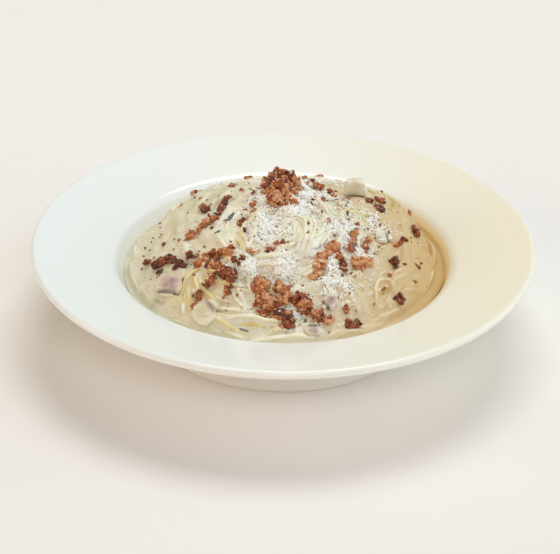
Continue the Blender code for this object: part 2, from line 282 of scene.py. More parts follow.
# %% Bowl sizes, in millimetres
bowl_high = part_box("pasta_bowl")[1]
RIM_RADIUS = bowl_high.x / MM
RIM_HEIGHT = bowl_high.z / MM
LIP_RADIUS = 2.2
SHOULDER_RADIUS = 9.0
SHOULDER_REACH, SHOULDER_HEIGHT = 96.1, 42.9  # where the shoulder slopes 30 degrees
RIM_SLOPE, WALL_SLOPE = 12.2, 65.0  # degrees
FLOOR_HEIGHT = 8.8
WALL_THICKNESS = 4.6
FOOT_RADIUS, FOOT_WIDTH, FOOT_RECESS = 77.9, 5.5, 3.4
UNDERSIDE = [(30.0, 11.7), (21.5, 9.8), (10.0, 7.2), (3.5, 5.1), (-1.1, 3.4)]  # from the shoulder's centre
FOOT_SIDE = [(3.4, 15.5), (2.2, 11.0), (0.7, 4.5), (0.0, 0.9), (-0.9, 0.0)]  # from the foot's radius

shoulder_centre = (SHOULDER_REACH + SHOULDER_RADIUS * math.sin(math.radians(30)),
                   SHOULDER_HEIGHT - SHOULDER_RADIUS * math.cos(math.radians(30)))
wall_top = (shoulder_centre[0] - SHOULDER_RADIUS * math.sin(math.radians(WALL_SLOPE)),
            shoulder_centre[1] + SHOULDER_RADIUS * math.cos(math.radians(WALL_SLOPE)))
well_radius = (wall_top[1] - FLOOR_HEIGHT) / (1 - math.cos(math.radians(WALL_SLOPE)))
well_centre = (wall_top[0] - well_radius * math.sin(math.radians(WALL_SLOPE)),
               FLOOR_HEIGHT + well_radius)
print("well arc: radius", round(well_radius, 1), "centre", [round(c, 1) for c in well_centre])


# %% Bowl outline
def arc(centre, radius, start, end, count):
    """Points on an arc, angles in degrees, lengths in millimetres."""
    angles = np.radians(np.linspace(start, end, count))
    return [(centre[0] + radius * math.cos(a), centre[1] + radius * math.sin(a)) for a in angles]


def smooth_line(points, rounds=2):
    """Cut the corners of a line of points, keeping its ends."""
    for _ in range(rounds):
        cut = [points[0]]
        for (x0, z0), (x1, z1) in zip(points, points[1:]):
            cut += [(0.75 * x0 + 0.25 * x1, 0.75 * z0 + 0.25 * z1),
                    (0.25 * x0 + 0.75 * x1, 0.25 * z0 + 0.75 * z1)]
        points = cut + [points[-1]]
    return points


def bowl_outline():
    """From the floor's middle up the inside, over the lip and back below."""
    lip = (RIM_RADIUS - LIP_RADIUS, RIM_HEIGHT - LIP_RADIUS)
    inside = [(0.0, FLOOR_HEIGHT), (22.0, FLOOR_HEIGHT)]
    inside += arc(well_centre, well_radius, -90, WALL_SLOPE - 90, 22)
    shoulder = arc(shoulder_centre, SHOULDER_RADIUS, 90 + WALL_SLOPE, 90 + RIM_SLOPE, 12)
    rim_end = arc(lip, LIP_RADIUS, 90 + RIM_SLOPE, -90, 15)
    near, far = np.array(shoulder[-1]), np.array(rim_end[0])
    rim = [tuple(near + (far - near) * t) for t in (0.15, 0.35, 0.55, 0.75, 0.92)]
    under_x, under_z = shoulder_centre
    underside = rim_end[-1:] + [(under_x + x, under_z + z) for x, z in UNDERSIDE]
    outer = arc(well_centre, well_radius + WALL_THICKNESS, -25, -47, 9)
    foot = [(FOOT_RADIUS + x, z) for x, z in FOOT_SIDE]
    inner = FOOT_RADIUS - FOOT_WIDTH
    inner_foot = [(inner + 0.6, 0.0), (inner, 0.6), (inner - 1.4, FOOT_RECESS), (40.0, FOOT_RECESS),
                  (0.0, FOOT_RECESS)]
    below = smooth_line(underside + outer[1:] + foot)
    return inside + shoulder[1:] + rim + rim_end[:-1] + below + inner_foot


# %% Porcelain


def glazed_porcelain():
    """White porcelain under a clear glaze: bright and smooth, with a faint ripple
    in its reflections. Painted light tints it cool on the left and cream on the
    right, as the cool and warm light fall there. On the right wall a painted warm
    glow stands for the light that the food bounces onto it."""
    material, add, shader, in_mm = new_material("glazed_porcelain")
    place = add("SeparateXYZ", {0: in_mm})
    cloud = add("TexNoise", {"Vector": in_mm, "Scale": 1 / 45, "Detail": 2.0})
    # painted light: the glaze runs cool on the left and cream on the right, with a little noise
    drift = add("Math", {0: cloud, 1: 60.0, 2: place.outputs["X"]}, operation="MULTIPLY_ADD")
    across = add("MapRange", {"Value": drift, "From Min": -110.0, "From Max": 170.0})
    colour = add("ValToRGB", {"Fac": across},
                 stops=[(0.0, "#EFF3F2"), (0.5, "#F5F4ED"), (1.0, "#F6EFD9")])
    # painted glow: warm light on the inside of the right wall, read from a point attribute
    film = add("Attribute", attribute_name="painted_glow").outputs["Fac"]
    with_painted_glow = add("Mix", {SHARE: film, UNDER: colour, OVER: linear("#FFE3A0")}, data_type="RGBA")
    set_inputs(shader, {"Base Color": with_painted_glow, "Roughness": 0.16, "IOR": 1.5,
                        "Normal": relief(add, in_mm, 14, 1.0, strength=0.05, height=0.5)})
    return material


# %% Spin the bowl and paint a warm glow of light on its right wall
PAINTED_GLOW_REACH, PAINTED_GLOW_COVER = (84, 91, 97, 112), (0, 1, 0.8, 0)  # mm from the axis, share there
PAINTED_GLOW_FROM, PAINTED_GLOW_FULL, PAINTED_GLOW_MOST = 20, 84, 0.62  # x in mm, x in mm, share


def pasta_bowl():
    """The outline, turned to a bowl; the merged pole and seam need their normals set."""
    shape = spun([(x * MM, z * MM) for x, z in bowl_outline()], steps=144)
    bmesh.ops.recalc_face_normals(shape, faces=shape.faces)
    return finish_piece("porcelain_bowl", shape, glazed_porcelain(), ["pasta_bowl"],
                        smooth_angle=40)


def paint_wall_glow(bowl):
    """How much painted warm glow each point takes: only inside, on the right wall."""
    x, y, z = (np.array([v.co[k] for v in bowl.data.vertices]) / MM for k in range(3))
    reach = np.hypot(x, y)
    inside_height = well_centre[1] - np.sqrt(np.maximum(
        well_radius ** 2 - np.clip(reach - well_centre[0], 0, None) ** 2, 0))
    share = np.interp(reach, PAINTED_GLOW_REACH, PAINTED_GLOW_COVER) * (
        np.clip((x - PAINTED_GLOW_FROM) / (PAINTED_GLOW_FULL - PAINTED_GLOW_FROM), 0, 1) * PAINTED_GLOW_MOST)
    painted_glow = np.where(z > inside_height - 1.0, share, 0.0)
    bowl.data.attributes.new("painted_glow", "FLOAT", "POINT").data.foreach_set("value", painted_glow)
    print("butter on", int((painted_glow > 0.1).sum()), "points of the glaze")


paint_wall_glow(pasta_bowl())

# %% [markdown]
# ## A map of the heap
#
# Everything in the bowl lies on what is under it. A height map, a grid of
# heights seen from above, keeps track of that: each strand, crumb and shred
# is set down on the highest thing beneath it and then added to the map. The
# heap's own solid gives the shape to build up to.

# %% Height map
CELL = 0.6  # mm
REACH = 96.0  # mm, half the map's width
RAY_START = 0.2  # m, well above the heap
side = int(2 * REACH / CELL) + 1
axis = np.linspace(-REACH, REACH, side)
grid_x, grid_y = np.meshgrid(axis, axis)  # row = y, column = x
from_axis = np.hypot(grid_x, grid_y)


def heights_of(node, floor_height, step=4):
    """Heights of a CAD node's upper surface on the map, in millimetres."""
    shape = bmesh.new()
    shape.from_mesh(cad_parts[node].data)
    tree = BVHTree.FromBMesh(shape)
    shape.free()
    coarse = axis[::step]
    rows = np.full((len(coarse), len(coarse)), floor_height)
    for i, y in enumerate(coarse):
        for j, x in enumerate(coarse):
            hit = tree.ray_cast(Vector((x * MM, y * MM, RAY_START)), Vector((0, 0, -1)))[0]
            if hit:
                rows[i, j] = hit.z / MM
    fine = np.array([np.interp(axis, coarse, row) for row in rows])
    return np.array([np.interp(axis, coarse, column) for column in fine.T]).T


# %% Reading, blurring and raising the map
def blur(field, radius):
    """Gaussian blur of a map; the radius is in millimetres."""
    reach = int(3 * radius / CELL) + 1
    weights = np.exp(-0.5 * (np.arange(-reach, reach + 1) * CELL / radius) ** 2)
    weights /= weights.sum()
    padded = np.pad(field, reach, mode="edge")
    rows = sum(w * padded[i:i + side, :] for i, w in enumerate(weights))
    return sum(w * rows[:, i:i + side] for i, w in enumerate(weights))


def read_map(field, x, y):
    """Heights at places, read between the cells."""
    u = np.clip((np.asarray(x) + REACH) / CELL, 0, side - 1.001)
    v = np.clip((np.asarray(y) + REACH) / CELL, 0, side - 1.001)
    j, i = u.astype(int), v.astype(int)
    fu, fv = u - j, v - i
    return ((field[i, j] * (1 - fu) + field[i, j + 1] * fu) * (1 - fv)
            + (field[i + 1, j] * (1 - fu) + field[i + 1, j + 1] * fu) * fv)


def height_at(x, y):
    """How high the heap has grown at a place."""
    return float(read_map(ground, x, y))


def stamp(field, x, y, z, radius):
    """Raise the map to a row of balls of one radius."""
    x, y, z = (np.asarray(values, float)[:, None, None] for values in (x, y, z))
    offsets = np.arange(-int(radius / CELL) - 1, int(radius / CELL) + 2)
    ii = np.clip(np.rint((y + REACH) / CELL).astype(int) + offsets[None, :, None], 0, side - 1)
    jj = np.clip(np.rint((x + REACH) / CELL).astype(int) + offsets[None, None, :], 0, side - 1)
    gap = (axis[jj] - x) ** 2 + (axis[ii] - y) ** 2
    top = z + np.sqrt(np.maximum(radius ** 2 - gap, 0.0))
    ii, jj = np.broadcast_arrays(ii, jj)
    inside = gap < radius ** 2
    np.maximum.at(field, (ii[inside], jj[inside]), top[inside])


def blobs(spots):
    """A map of soft ovals: each is centre x, y, half widths, strength."""
    total = np.zeros_like(grid_x)
    for x, y, half_x, half_y, strength in spots:
        off = ((grid_x - x) / half_x) ** 2 + ((grid_y - y) / half_y) ** 2
        total = np.maximum(total, strength * np.exp(-off ** 1.5))
    return total


def thicken(field, cells):
    """Each cell takes the highest value within a few cells of it."""
    for _ in range(cells):
        for turn in (0, 1):
            field = np.maximum(field, np.maximum(np.roll(field, 1, turn), np.roll(field, -1, turn)))
    return field


def ripples(size, seed):
    """Smooth random waves about zero, their size in millimetres."""
    soft = blur(np.random.default_rng(seed).normal(0, 1, grid_x.shape), size)
    return soft / soft.std()


# %% What to build up to, and where strands stand clear
SAUCE_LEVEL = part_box("cream_sauce")[1].z / MM
heap_target = blur(np.maximum(heights_of("spaghetti_heap", SAUCE_LEVEL), SAUCE_LEVEL), 1.2)
pool_level = SAUCE_LEVEL - 1.4 + 0.022 * grid_x  # it stands higher on the right
CLEAR = [  # where the strands stand clear of the sauce: x, y, half widths, share
    (4, -20, 38, 38, 1), (-35, -54, 18, 22, 0.75), (-14, -78, 34, 8, 0.5), (53, -49, 8, 10, 0.6),
    (-36, 16, 16, 14, 0.3), (16, 22, 30, 18, 0.6), (40, 0, 16, 12, 0.7), (64, -48, 20, 18, 0.38),
    (0, 62, 44, 20, 0.85), (54, 46, 18, 18, 0.6), (-58, 44, 16, 16, 0.5),
    (74, 4, 10, 20, 0.04), (-74, 4, 12, 22, 0.06),
]
clear_map = np.clip(blobs(CLEAR) + 0.10 * ripples(5.0, 3), 0, 1)
print("heap rises to", round(float(heap_target.max()), 1), "mm; sauce at", round(SAUCE_LEVEL, 1))

# %% [markdown]
# ## Spaghetti
#
# Cooked spaghetti is about 2.4 mm thick, limp and smooth. The serving was
# twirled with tongs, so the strands of the nest run round side by side in
# bundles, while the outer ones lie in loose loops and along the wall. Each
# strand is a path in plan that is laid down on the map: it rests on what is
# under it, bridges small gaps because it is a little stiff, and dives in at
# its ends. Bundles go where the heap is still lowest, until it is full.

# %% Strand paths, in plan
STEP = 1.8  # mm between a strand's points
NEST = np.array([0.0, -19.0])  # mm, middle of the twirl
HEAP_EDGE = 86.0  # mm
STRAND_RADIUS = 1.2  # mm
BUNDLE_PITCH = 2.45  # mm between neighbours in a bundle


def ring_path(centre, radius, start, sweep, drift=0.0, wobble=0.0, squeeze=1.0):
    """Part of a turn whose radius drifts and wavers, kept inside the wall."""
    count = max(8, int(abs(sweep) * radius / STEP))
    angle = np.linspace(start, start + sweep, count)
    phase, beat = rng.uniform(0, math.tau), rng.uniform(1.4, 3.0)
    reach = radius + drift * (angle - start) + wobble * np.sin(beat * angle + phase)
    path = np.stack([centre[0] + reach * np.cos(angle) * squeeze,
                     centre[1] + reach * np.sin(angle) / squeeze], axis=1)
    return inside_wall(path)


def inside_wall(path):
    """Bend the parts of a path that would leave the heap along its edge."""
    out = np.hypot(path[:, 0], path[:, 1])
    allowed = HEAP_EDGE - 2 + 2 * np.tanh((out - HEAP_EDGE) / 6)
    return path * np.minimum(1.0, allowed / np.maximum(out, 1))[:, None]


def beside(path, gap):
    """The path that runs beside another at a distance."""
    along = np.gradient(path, axis=0)
    along /= np.maximum(np.hypot(*along.T), 1e-6)[:, None]
    return path + np.stack([-along[:, 1], along[:, 0]], axis=1) * gap


NEST_BELOW, LOOP_BELOW = 0.45, 0.75  # of a random number up to 1; the rest run along the wall


def random_path():
    """A strand for the nest, a loose loop, or a strand along the wall."""
    kind = rng.random()
    turn = rng.choice([-1.0, 1.0])
    start = rng.uniform(0, math.tau)
    if kind < NEST_BELOW:
        radius = rng.uniform(6, 48)
        sweep = min(4.5, rng.uniform(45, 110) / radius)
        return ring_path(NEST + rng.normal(0, 2.5, 2), radius, start, turn * sweep,
                         turn * rng.uniform(-2, 2), rng.uniform(0.3, 1.5), rng.uniform(0.95, 1.1))
    if kind < LOOP_BELOW:
        away_by, angle = rng.uniform(18, 66), rng.uniform(0, math.tau)
        centre = (away_by * math.cos(angle), away_by * math.sin(angle))
        return ring_path(centre, rng.uniform(14, 40), start, turn * rng.uniform(1.4, 3.0),
                         turn * rng.uniform(-3, 3), rng.uniform(1, 4), rng.uniform(0.8, 1.25))
    return ring_path((0, 0), rng.uniform(58, 85), start, turn * rng.uniform(0.6, 1.6),
                     turn * rng.uniform(-5, 5), rng.uniform(0.5, 2.5))


# %% Laying a strand
CORE_DEPTH = 8.0  # mm of strands over the core
POOL_DEPTH = 5.0  # mm from the pool's level to what is under it
ROOM_NEEDED = 1.6  # mm of depth that a strand needs
NO_ROOM = -1.2  # mm, a bundle with less is not laid
DROWNED = 2.2  # mm that strands lie under the sauce
STIFFNESS = 2.6  # mm over which a strand is evened out
END_DIVE, END_LENGTH = 3.2, 3.5  # mm that an end dives, and over what length
SINK = 0.3  # mm that strands press into each other
ground = np.where(from_axis < HEAP_EDGE + 1, heap_target - CORE_DEPTH, pool_level - POOL_DEPTH)


def even_out(values, length):
    """Smooth numbers along a strand."""
    reach = max(1, int(2.5 * length / STEP))
    weights = np.exp(-0.5 * (np.arange(-reach, reach + 1) * STEP / length) ** 2)
    padded = np.pad(values, reach, mode="edge")
    return np.convolve(padded, weights / weights.sum(), mode="valid")


def lay_strand(path, radius, dive=END_DIVE):
    """The strand's axis where it rests on the map; the map then holds it too."""
    sideways = beside(path, 1.0) - path
    rest = np.full(len(path), -1e3)
    for share in (-0.8, -0.4, 0.0, 0.4, 0.8):
        x, y = (path + sideways * share * radius).T
        rest = np.maximum(rest, read_map(ground, x, y) + radius * math.sqrt(1 - share ** 2))
    held = np.maximum(rest, even_out(rest, STIFFNESS))
    height = even_out(held, STIFFNESS * 0.6) - SINK
    ends = np.minimum(np.arange(len(path)), np.arange(len(path))[::-1]) * STEP
    height -= dive * np.exp(-(ends / END_LENGTH) ** 2)
    dense = np.linspace(0, len(path) - 1, int(len(path) * STEP / CELL))
    at = np.arange(len(path))
    x, y, z = (np.interp(dense, at, values) for values in (path[:, 0], path[:, 1], height))
    stamp(ground, x, y, z, radius)
    return np.column_stack([path, height])


def room_for(path, shortfall):
    """Mean depth still to fill along a path, less what would stick out."""
    depth = read_map(shortfall, *path.T)
    return np.clip(depth, -2, 4).mean() - 1.5 * np.maximum(ROOM_NEEDED - depth, 0).mean()


def fill_heap(limit=150, tries=8):
    """Lay bundles where the heap is lowest; each is its points and radius."""
    laid = []
    for _ in range(limit):
        shortfall = np.where(from_axis < HEAP_EDGE, strand_target - ground, 0.0)
        options = [random_path() for _ in range(tries)]
        gains = [room_for(path, shortfall) for path in options]
        if max(gains) < NO_ROOM:
            continue
        base = options[int(np.argmax(gains))]
        for place in range(rng.integers(2, 6)):
            trim = rng.integers(0, 4, 2)
            path = inside_wall(beside(base, place * BUNDLE_PITCH))[trim[0]:len(base) - trim[1]]
            if len(path) > 7 and read_map(strand_target - ground, *path.T).mean() > ROOM_NEEDED:
                laid.append((lay_strand(path, rng.normal(STRAND_RADIUS, 0.05)), STRAND_RADIUS))
    return laid


sunken_edge = blobs([(88, 0, 15, 36, 1.2), (-88, 0, 12, 30, 1.0)])
strand_target = heap_target + 0.4 - DROWNED * (1 - clear_map) - sunken_edge
strands = fill_heap()
short = (heap_target - ground)[from_axis < HEAP_EDGE - 4]
print(len(strands), "strands,", round(sum(len(p) for p, _ in strands) * STEP / 1000, 1), "m; top",
      round(float(ground.max()), 1), "mm; heap left short by", short.mean().round(2), "mm")

# %% Strands that show, laid last: middle, radius, start and sweep in degrees, how many
SHOWN = [
    (NEST, 7, -95, 230, 7), (NEST, 11, 115, 120, 5), (NEST, 17, -125, 70, 4), ((3, -14), 27, -40, 90, 2),
    ((0, -8), 30, 60, 85, 2), ((-8, -10), 24, 150, 75, 3), ((-60, -12), 44, -62, 40, 2),
    ((-14, -52), 33, 195, 50, 2),
]
NEST_STRANDS = sum(row[4] for row in SHOWN)
for middle, radius, start, sweep, count in SHOWN:
    for place in range(count):
        path = ring_path(middle, radius + place * BUNDLE_PITCH * rng.uniform(1.0, 1.15),
                         math.radians(start + rng.normal(0, 9)), math.radians(sweep + rng.normal(0, 12)),
                         rng.normal(0, 1.2), rng.uniform(0.3, 1.0))
        strands.append((lay_strand(path, STRAND_RADIUS, dive=2.6), STRAND_RADIUS))

# %% Single strands on top: bare of sauce or not, how many side by side, points in plan
SINGLE = [
    (True, 2, [(-51, -36), (-53, -46), (-52, -58), (-47, -64)]),
    (True, 2, [(-49, -35), (-47, -47), (-43, -58), (-35, -66)]),
    (True, 2, [(-47, -36), (-41, -47), (-33, -55), (-22, -60)]),
    (True, 2, [(-45, -68.5), (-35, -74.5), (-22, -77.5), (-8, -79)]),
    (True, 1, [(-43, -40), (-48, -43), (-52, -47), (-53, -54)]),
    (True, 1, [(-41, -46), (-39, -52), (-36, -58)]), (False, 1, [(-52, -56), (-52.5, -61), (-50, -67)]),
    (False, 2, [(-27, -59), (-22, -67), (-16, -74)]), (True, 2, [(-28, -14), (-24, -24), (-21, -35)]),
    (False, 2, [(-20, -2), (-14, -14), (-9, -25)]), (False, 3, [(9, -5), (12.5, -16), (12, -29), (7, -41)]),
    (True, 1, [(-46, -71), (-34, -76.5), (-19, -81), (-6, -82)]),
    (False, 1, [(-30, -74), (-15, -77), (4, -78), (20, -77)]),
    (False, 1, [(-12, -81.5), (2, -81.5), (20, -79)]), (False, 1, [(46, -68), (60, -58), (75, -44)]),
    (False, 1, [(42, -65), (58, -55), (73, -42)]), (False, 1, [(60, -50), (69, -43), (77, -32)]),
    (False, 1, [(51, -57), (49.5, -51), (51, -44), (56, -40.5), (60, -44), (57, -52), (53, -58)]),
    (True, 2, [(30, -6), (38, 0), (46, 5), (54, 7)]), (False, 2, [(24, 24), (31, 29), (42, 30), (50, 24)]),
    (True, 1, [(-4, -43), (-2.5, -50), (-1, -58)]), (False, 1, [(-81, -12), (-84, 2), (-80, 18)]),
    (False, 2, [(-24, -36), (-19, -46), (-18, -58), (-12, -68)]),
    (False, 3, [(22, -50), (34, -56), (42, -66), (44, -74)]),
    (False, 2, [(58, -40), (66, -30), (70, -16), (69, 0)]),
    (False, 2, [(60, 8), (66, 20), (66, 34), (58, 46)]),
]


def drawn_path(points):
    """A path through a few points in plan, rounded and evenly spaced."""
    line = np.array(smooth_line(points, rounds=3))
    length = np.append(0, np.cumsum(np.hypot(*np.diff(line, axis=0).T)))
    at = np.linspace(0, length[-1], max(8, int(length[-1] / STEP)))
    return np.stack([np.interp(at, length, values) for values in line.T], axis=1)


single_bare = []
for no_sauce, count, points in SINGLE:
    for place in range(count):
        path = inside_wall(beside(drawn_path(points), place * BUNDLE_PITCH * 1.05))
        strands.append((lay_strand(path, STRAND_RADIUS, dive=2.8), STRAND_RADIUS))
        single_bare.append(no_sauce)
print(len(strands), "strands in all")

# %% [markdown]
# A curve with a round bevel is Blender's own way to make a tube. All strands
# of a layer are splines of one curve, which is then turned into one mesh.


# %% Spaghetti material
def creamed_spaghetti(name, dry, wet):
    """Soft wheat pasta under a film of cream: pale, translucent and moist,
    yellower where the film is thin, a little rough with melted cheese. Towards
    the right it turns tan, partly its own tone and partly painted shade."""
    material, add, shader, in_mm = new_material(name)
    film = add("TexNoise", {"Vector": in_mm, "Scale": 1 / 7, "Detail": 4.0, "Roughness": 0.6})
    colour = add("ValToRGB", {"Fac": film}, stops=[(0.34, dry), (0.62, wet)])
    place = add("SeparateXYZ", {0: in_mm})
    # tan towards the right: partly the noodles' own tone, partly painted shade on the heap's right side
    tan_and_painted_shade = add("MapRange", {"Value": place.outputs["X"], "From Min": 26.0, "From Max": 68.0,
                             "To Max": 0.92})
    tanned = add("Mix", {SHARE: tan_and_painted_shade, UNDER: colour, OVER: linear("#DCC08A")}, data_type="RGBA")
    set_inputs(shader, {"Base Color": tanned, "Roughness": 0.45, "Subsurface Weight": 0.6,
                        "Subsurface Radius": (1.0, 0.85, 0.6), "Subsurface Scale": 1.8 * MM,
                        "Normal": relief(add, in_mm, 0.9, 2.0, strength=0.4, height=0.3)})
    return material


# %% Strands as meshes


def tubes(name, paths, material, nodes=()):
    """Many tubes as one mesh; each path is its points in mm and its radius."""
    data = bpy.data.curves.new(name, "CURVE")
    data.dimensions = "3D"
    data.bevel_depth = 1.0 * MM
    data.bevel_resolution = 2
    data.use_fill_caps = True
    data.resolution_u = 1
    for points, radius in paths:
        spline = data.splines.new("POLY")
        spline.points.add(len(points) - 1)
        spline.points.foreach_set("co", np.column_stack([points * MM, np.ones(len(points))]).ravel())
        spline.points.foreach_set("radius", np.full(len(points), radius))
    holder = put_in_scene(name + "_curve", data)
    made = bpy.data.meshes.new_from_object(holder.evaluated_get(bpy.context.evaluated_depsgraph_get()))
    bpy.data.objects.remove(holder)
    shape = bmesh.new()
    shape.from_mesh(made)
    bpy.data.meshes.remove(made)
    bmesh.ops.remove_doubles(shape, verts=shape.verts, dist=WELD)
    bmesh.ops.recalc_face_normals(shape, faces=shape.faces)
    finish_piece(name, shape, material, nodes)


creamy = creamed_spaghetti("creamed_spaghetti", "#EDE1BB", "#FAF5E1")
bare = creamed_spaghetti("bare_spaghetti", "#DFC47C", "#EFE2B2")
BARE_SHARE, BARE_SHARE_IN_FRONT = 0.06, 0.6  # of the strands
mixed = rng.random(len(strands)) < BARE_SHARE
middles = [path.mean(axis=0) for path, _ in strands]
front_left = np.array([-54 < x < -20 and -66 < y < -38 for x, y, _ in middles])
is_bare = mixed | (front_left & (rng.random(len(strands)) < BARE_SHARE_IN_FRONT))
is_bare[-len(single_bare) - NEST_STRANDS:] = [False] * NEST_STRANDS + single_bare
coated = [s for s, flag in zip(strands, is_bare) if not flag]
uncoated = [s for s, flag in zip(strands, is_bare) if flag]
half = len(coated) // 2
tubes("spaghetti_inner", coated[:half], creamy)
tubes("spaghetti_outer", coated[half:], creamy, ["spaghetti_heap"])
tubes("spaghetti_bare", uncoated, bare)

# %% [markdown]
# ## Cream sauce
#
# The sauce has settled into a pool round the heap, coats the strands and
# fills the hollows between them. Over the nest its surface is the strands'
# own height map, blurred and lowered: a blurred surface lies below the crests
# and above the gaps, as a thick liquid does. Towards the sides the sauce is
# so deep that only soft ridges show where strands lie under it.

# %% Sauce heights
IN_GAPS, OVER_STRANDS, ON_STRANDS = -0.35, 0.7, 0.42  # mm from the blurred map
inside_heap = np.where(from_axis < HEAP_EDGE + 4, ground, pool_level)
gaps = blur(np.maximum(inside_heap, pool_level - 0.5), 1.4) + IN_GAPS
flood = np.maximum(blur(np.maximum(inside_heap, pool_level), 3.2) + OVER_STRANDS,
                   np.where(from_axis < HEAP_EDGE, heap_target - 0.2, 0))
ridges = 0.7 * (blur(inside_heap, 0.9) - blur(inside_heap, 4.0)).clip(-1.5, 1.5)
sauce = gaps * clear_map + (blur(flood, 1.4) + ridges) * (1 - clear_map) + 0.10 * ripples(2.6, 5)
film = blur(thicken(inside_heap, 1), 0.75) + ON_STRANDS - 3.5 * clear_map
sauce = np.maximum(np.maximum(sauce, film), pool_level + 0.15 * ripples(5.0, 6))


def wall_radius(height):
    """Inside radius of the well at a height, in millimetres."""
    below = np.clip(well_centre[1] - height, 0, well_radius)
    return well_centre[0] + np.sqrt(well_radius ** 2 - below ** 2)


# %% Sauce material
# Patches of colour: middle, where one starts and ends to fade, share, colour
CREAM_PATCHES = [
    ((4.0, -16.0, 66.0), 26.0, 50.0, 0.9, "#F8F3DE"),       # cheese melted into the nest
    ((-44.0, -56.0, 45.0), 10.0, 26.0, 0.45, "#DDC58F"),    # egg at the front left
    ((54.0, -48.5, 47.0), 2.5, 7.0, 0.75, "#CDA95F"),       # fat in a fold on the right
]


def carbonara_cream():
    """Cream, egg and cheese sauce: opaque, satin, a grey ivory with curds,
    pepper specks and patches of melted cheese, of egg and of fat. Towards the
    right it turns tan, partly a browner sauce and partly painted shade from the wall."""
    material, add, shader, in_mm = new_material("carbonara_cream")
    cloud = add("TexNoise", {"Vector": in_mm, "Scale": 1 / 13, "Detail": 5.0, "Roughness": 0.55,
                             "Distortion": 0.6})
    cream = add("ValToRGB", {"Fac": cloud}, stops=[(0.32, "#D4CAAA"), (0.50, "#DFD8BD"), (0.70, "#ECE7D3")])
    place = add("SeparateXYZ", {0: in_mm})
    # tan towards the right: partly the sauce's own browner tone, partly painted shade where the right wall
    # shades it
    wander = add("Math", {0: cloud, 1: 40.0, 2: place.outputs["X"]}, operation="MULTIPLY_ADD")
    tan_and_painted_shade = add("MapRange", {"Value": wander, "From Min": 26.0, "From Max": 96.0})
    tanned = add("Mix", {SHARE: tan_and_painted_shade, UNDER: cream, OVER: linear("#D3B177")}, data_type="RGBA")
    pepper = add("TexVoronoi", {"Vector": in_mm, "Scale": 1 / 2.6})
    speck = add("MapRange", {"Value": pepper, "From Min": 0.05, "From Max": 0.11, "To Min": 1.0,
                             "To Max": 0.0})
    colour = add("Mix", {SHARE: speck, UNDER: tanned, OVER: linear("#9C8866")}, data_type="RGBA")
    for middle, near, far, share, tint in CREAM_PATCHES:
        away_from = add("VectorMath", {0: in_mm, 1: middle}, operation="DISTANCE")
        patch = add("MapRange", {"Value": away_from, "From Min": near, "From Max": far, "To Min": share,
                                 "To Max": 0.0})
        colour = add("Mix", {SHARE: patch, UNDER: colour, OVER: linear(tint)}, data_type="RGBA")
    set_inputs(shader, {"Base Color": colour, "Roughness": 0.34, "Subsurface Weight": 0.3,
                        "Subsurface Radius": (1.0, 0.85, 0.6), "Subsurface Scale": 1.5 * MM,
                        "Normal": relief(add, in_mm, 1.6, 4.0, strength=0.5, height=0.5)})
    return material


# %% Sauce body
SKIRT_STEPS = (4.5, 4.5)  # mm down the wall
INTO_WALL = 0.25  # mm, so that no slit shows at the glaze


def sauce_body(rings=170, steps=420):
    """The sauce as one closed body: its surface, a skirt down the wall, a base."""
    shape = spun([(i / rings, 0.0) for i in range(rings + 1)], steps)
    unit = np.array([v.co[:] for v in shape.verts])
    share = np.hypot(unit[:, 0], unit[:, 1])
    turn = np.arctan2(unit[:, 1], unit[:, 0])
    edge = wall_radius(read_map(sauce, 90 * np.cos(turn), 90 * np.sin(turn))) + INTO_WALL
    x, y = share * edge * np.cos(turn), share * edge * np.sin(turn)
    meniscus = 0.7 * np.exp(-((edge - share * edge) / 1.1) ** 2)
    z = read_map(sauce, x, y) + meniscus
    for vertex, place in zip(shape.verts, np.column_stack([x, y, z]) * MM):
        vertex.co = place
    rim = [e for e in shape.edges if e.is_boundary]
    for drop in SKIRT_STEPS:
        lower = bmesh.ops.extrude_edge_only(shape, edges=rim)["geom"]
        rim = [g for g in lower if isinstance(g, bmesh.types.BMEdge)]
        for vertex in (g for g in lower if isinstance(g, bmesh.types.BMVert)):
            height = vertex.co.z / MM - drop
            radius = float(wall_radius(height)) + INTO_WALL
            bearing = math.atan2(vertex.co.y, vertex.co.x)
            vertex.co = Vector((radius * math.cos(bearing), radius * math.sin(bearing), height)) * MM
    bmesh.ops.holes_fill(shape, edges=rim)
    bmesh.ops.recalc_face_normals(shape, faces=shape.faces)
    finish_piece("cream_sauce_body", shape, carbonara_cream(), ["cream_sauce"])


sauce_body()
print("sauce covers", round(float((sauce > ground)[from_axis < 84].mean()) * 100), "% of the strands")
ground = np.maximum(ground, sauce)

# %% [markdown]
# ## Small pieces in great numbers
#
# Toppings are small pieces in hundreds. A few different ones are modelled,
# and copies of them, each turned and sized by itself, are joined as one mesh.
# Every copy also carries a random tone, which its material reads, so no two
# neighbours have quite the same colour.


# %% Copies joined as one mesh
def shape_arrays(shape):
    """Corner places and triangles of a bmesh, which is then freed."""
    bmesh.ops.triangulate(shape, faces=shape.faces)
    bmesh.ops.recalc_face_normals(shape, faces=shape.faces)
    shape.verts.index_update()
    places = np.array([v.co[:] for v in shape.verts])
    corners = np.array([[v.index for v in f.verts] for f in shape.faces])
    shape.free()
    return places, corners


def turned(angles):
    """Rotation matrix from three angles."""
    (cx, cy, cz), (sx, sy, sz) = np.cos(angles), np.sin(angles)
    about_x = np.array([[1, 0, 0], [0, cx, -sx], [0, sx, cx]])
    about_y = np.array([[cy, 0, sy], [0, 1, 0], [-sy, 0, cy]])
    about_z = np.array([[cz, -sz, 0], [sz, cz, 0], [0, 0, 1]])
    return about_z @ about_y @ about_x


def tumbled(wobble):
    """A random turn about the upright axis, after a little tumbling."""
    return turned([rng.normal(0, wobble), rng.normal(0, wobble), rng.uniform(0, math.tau)])


def within(radius):
    """A random place in a disc about the bowl's axis."""
    bearing, reach = rng.uniform(0, math.tau), radius * math.sqrt(rng.random())
    return reach * math.cos(bearing), reach * math.sin(bearing)


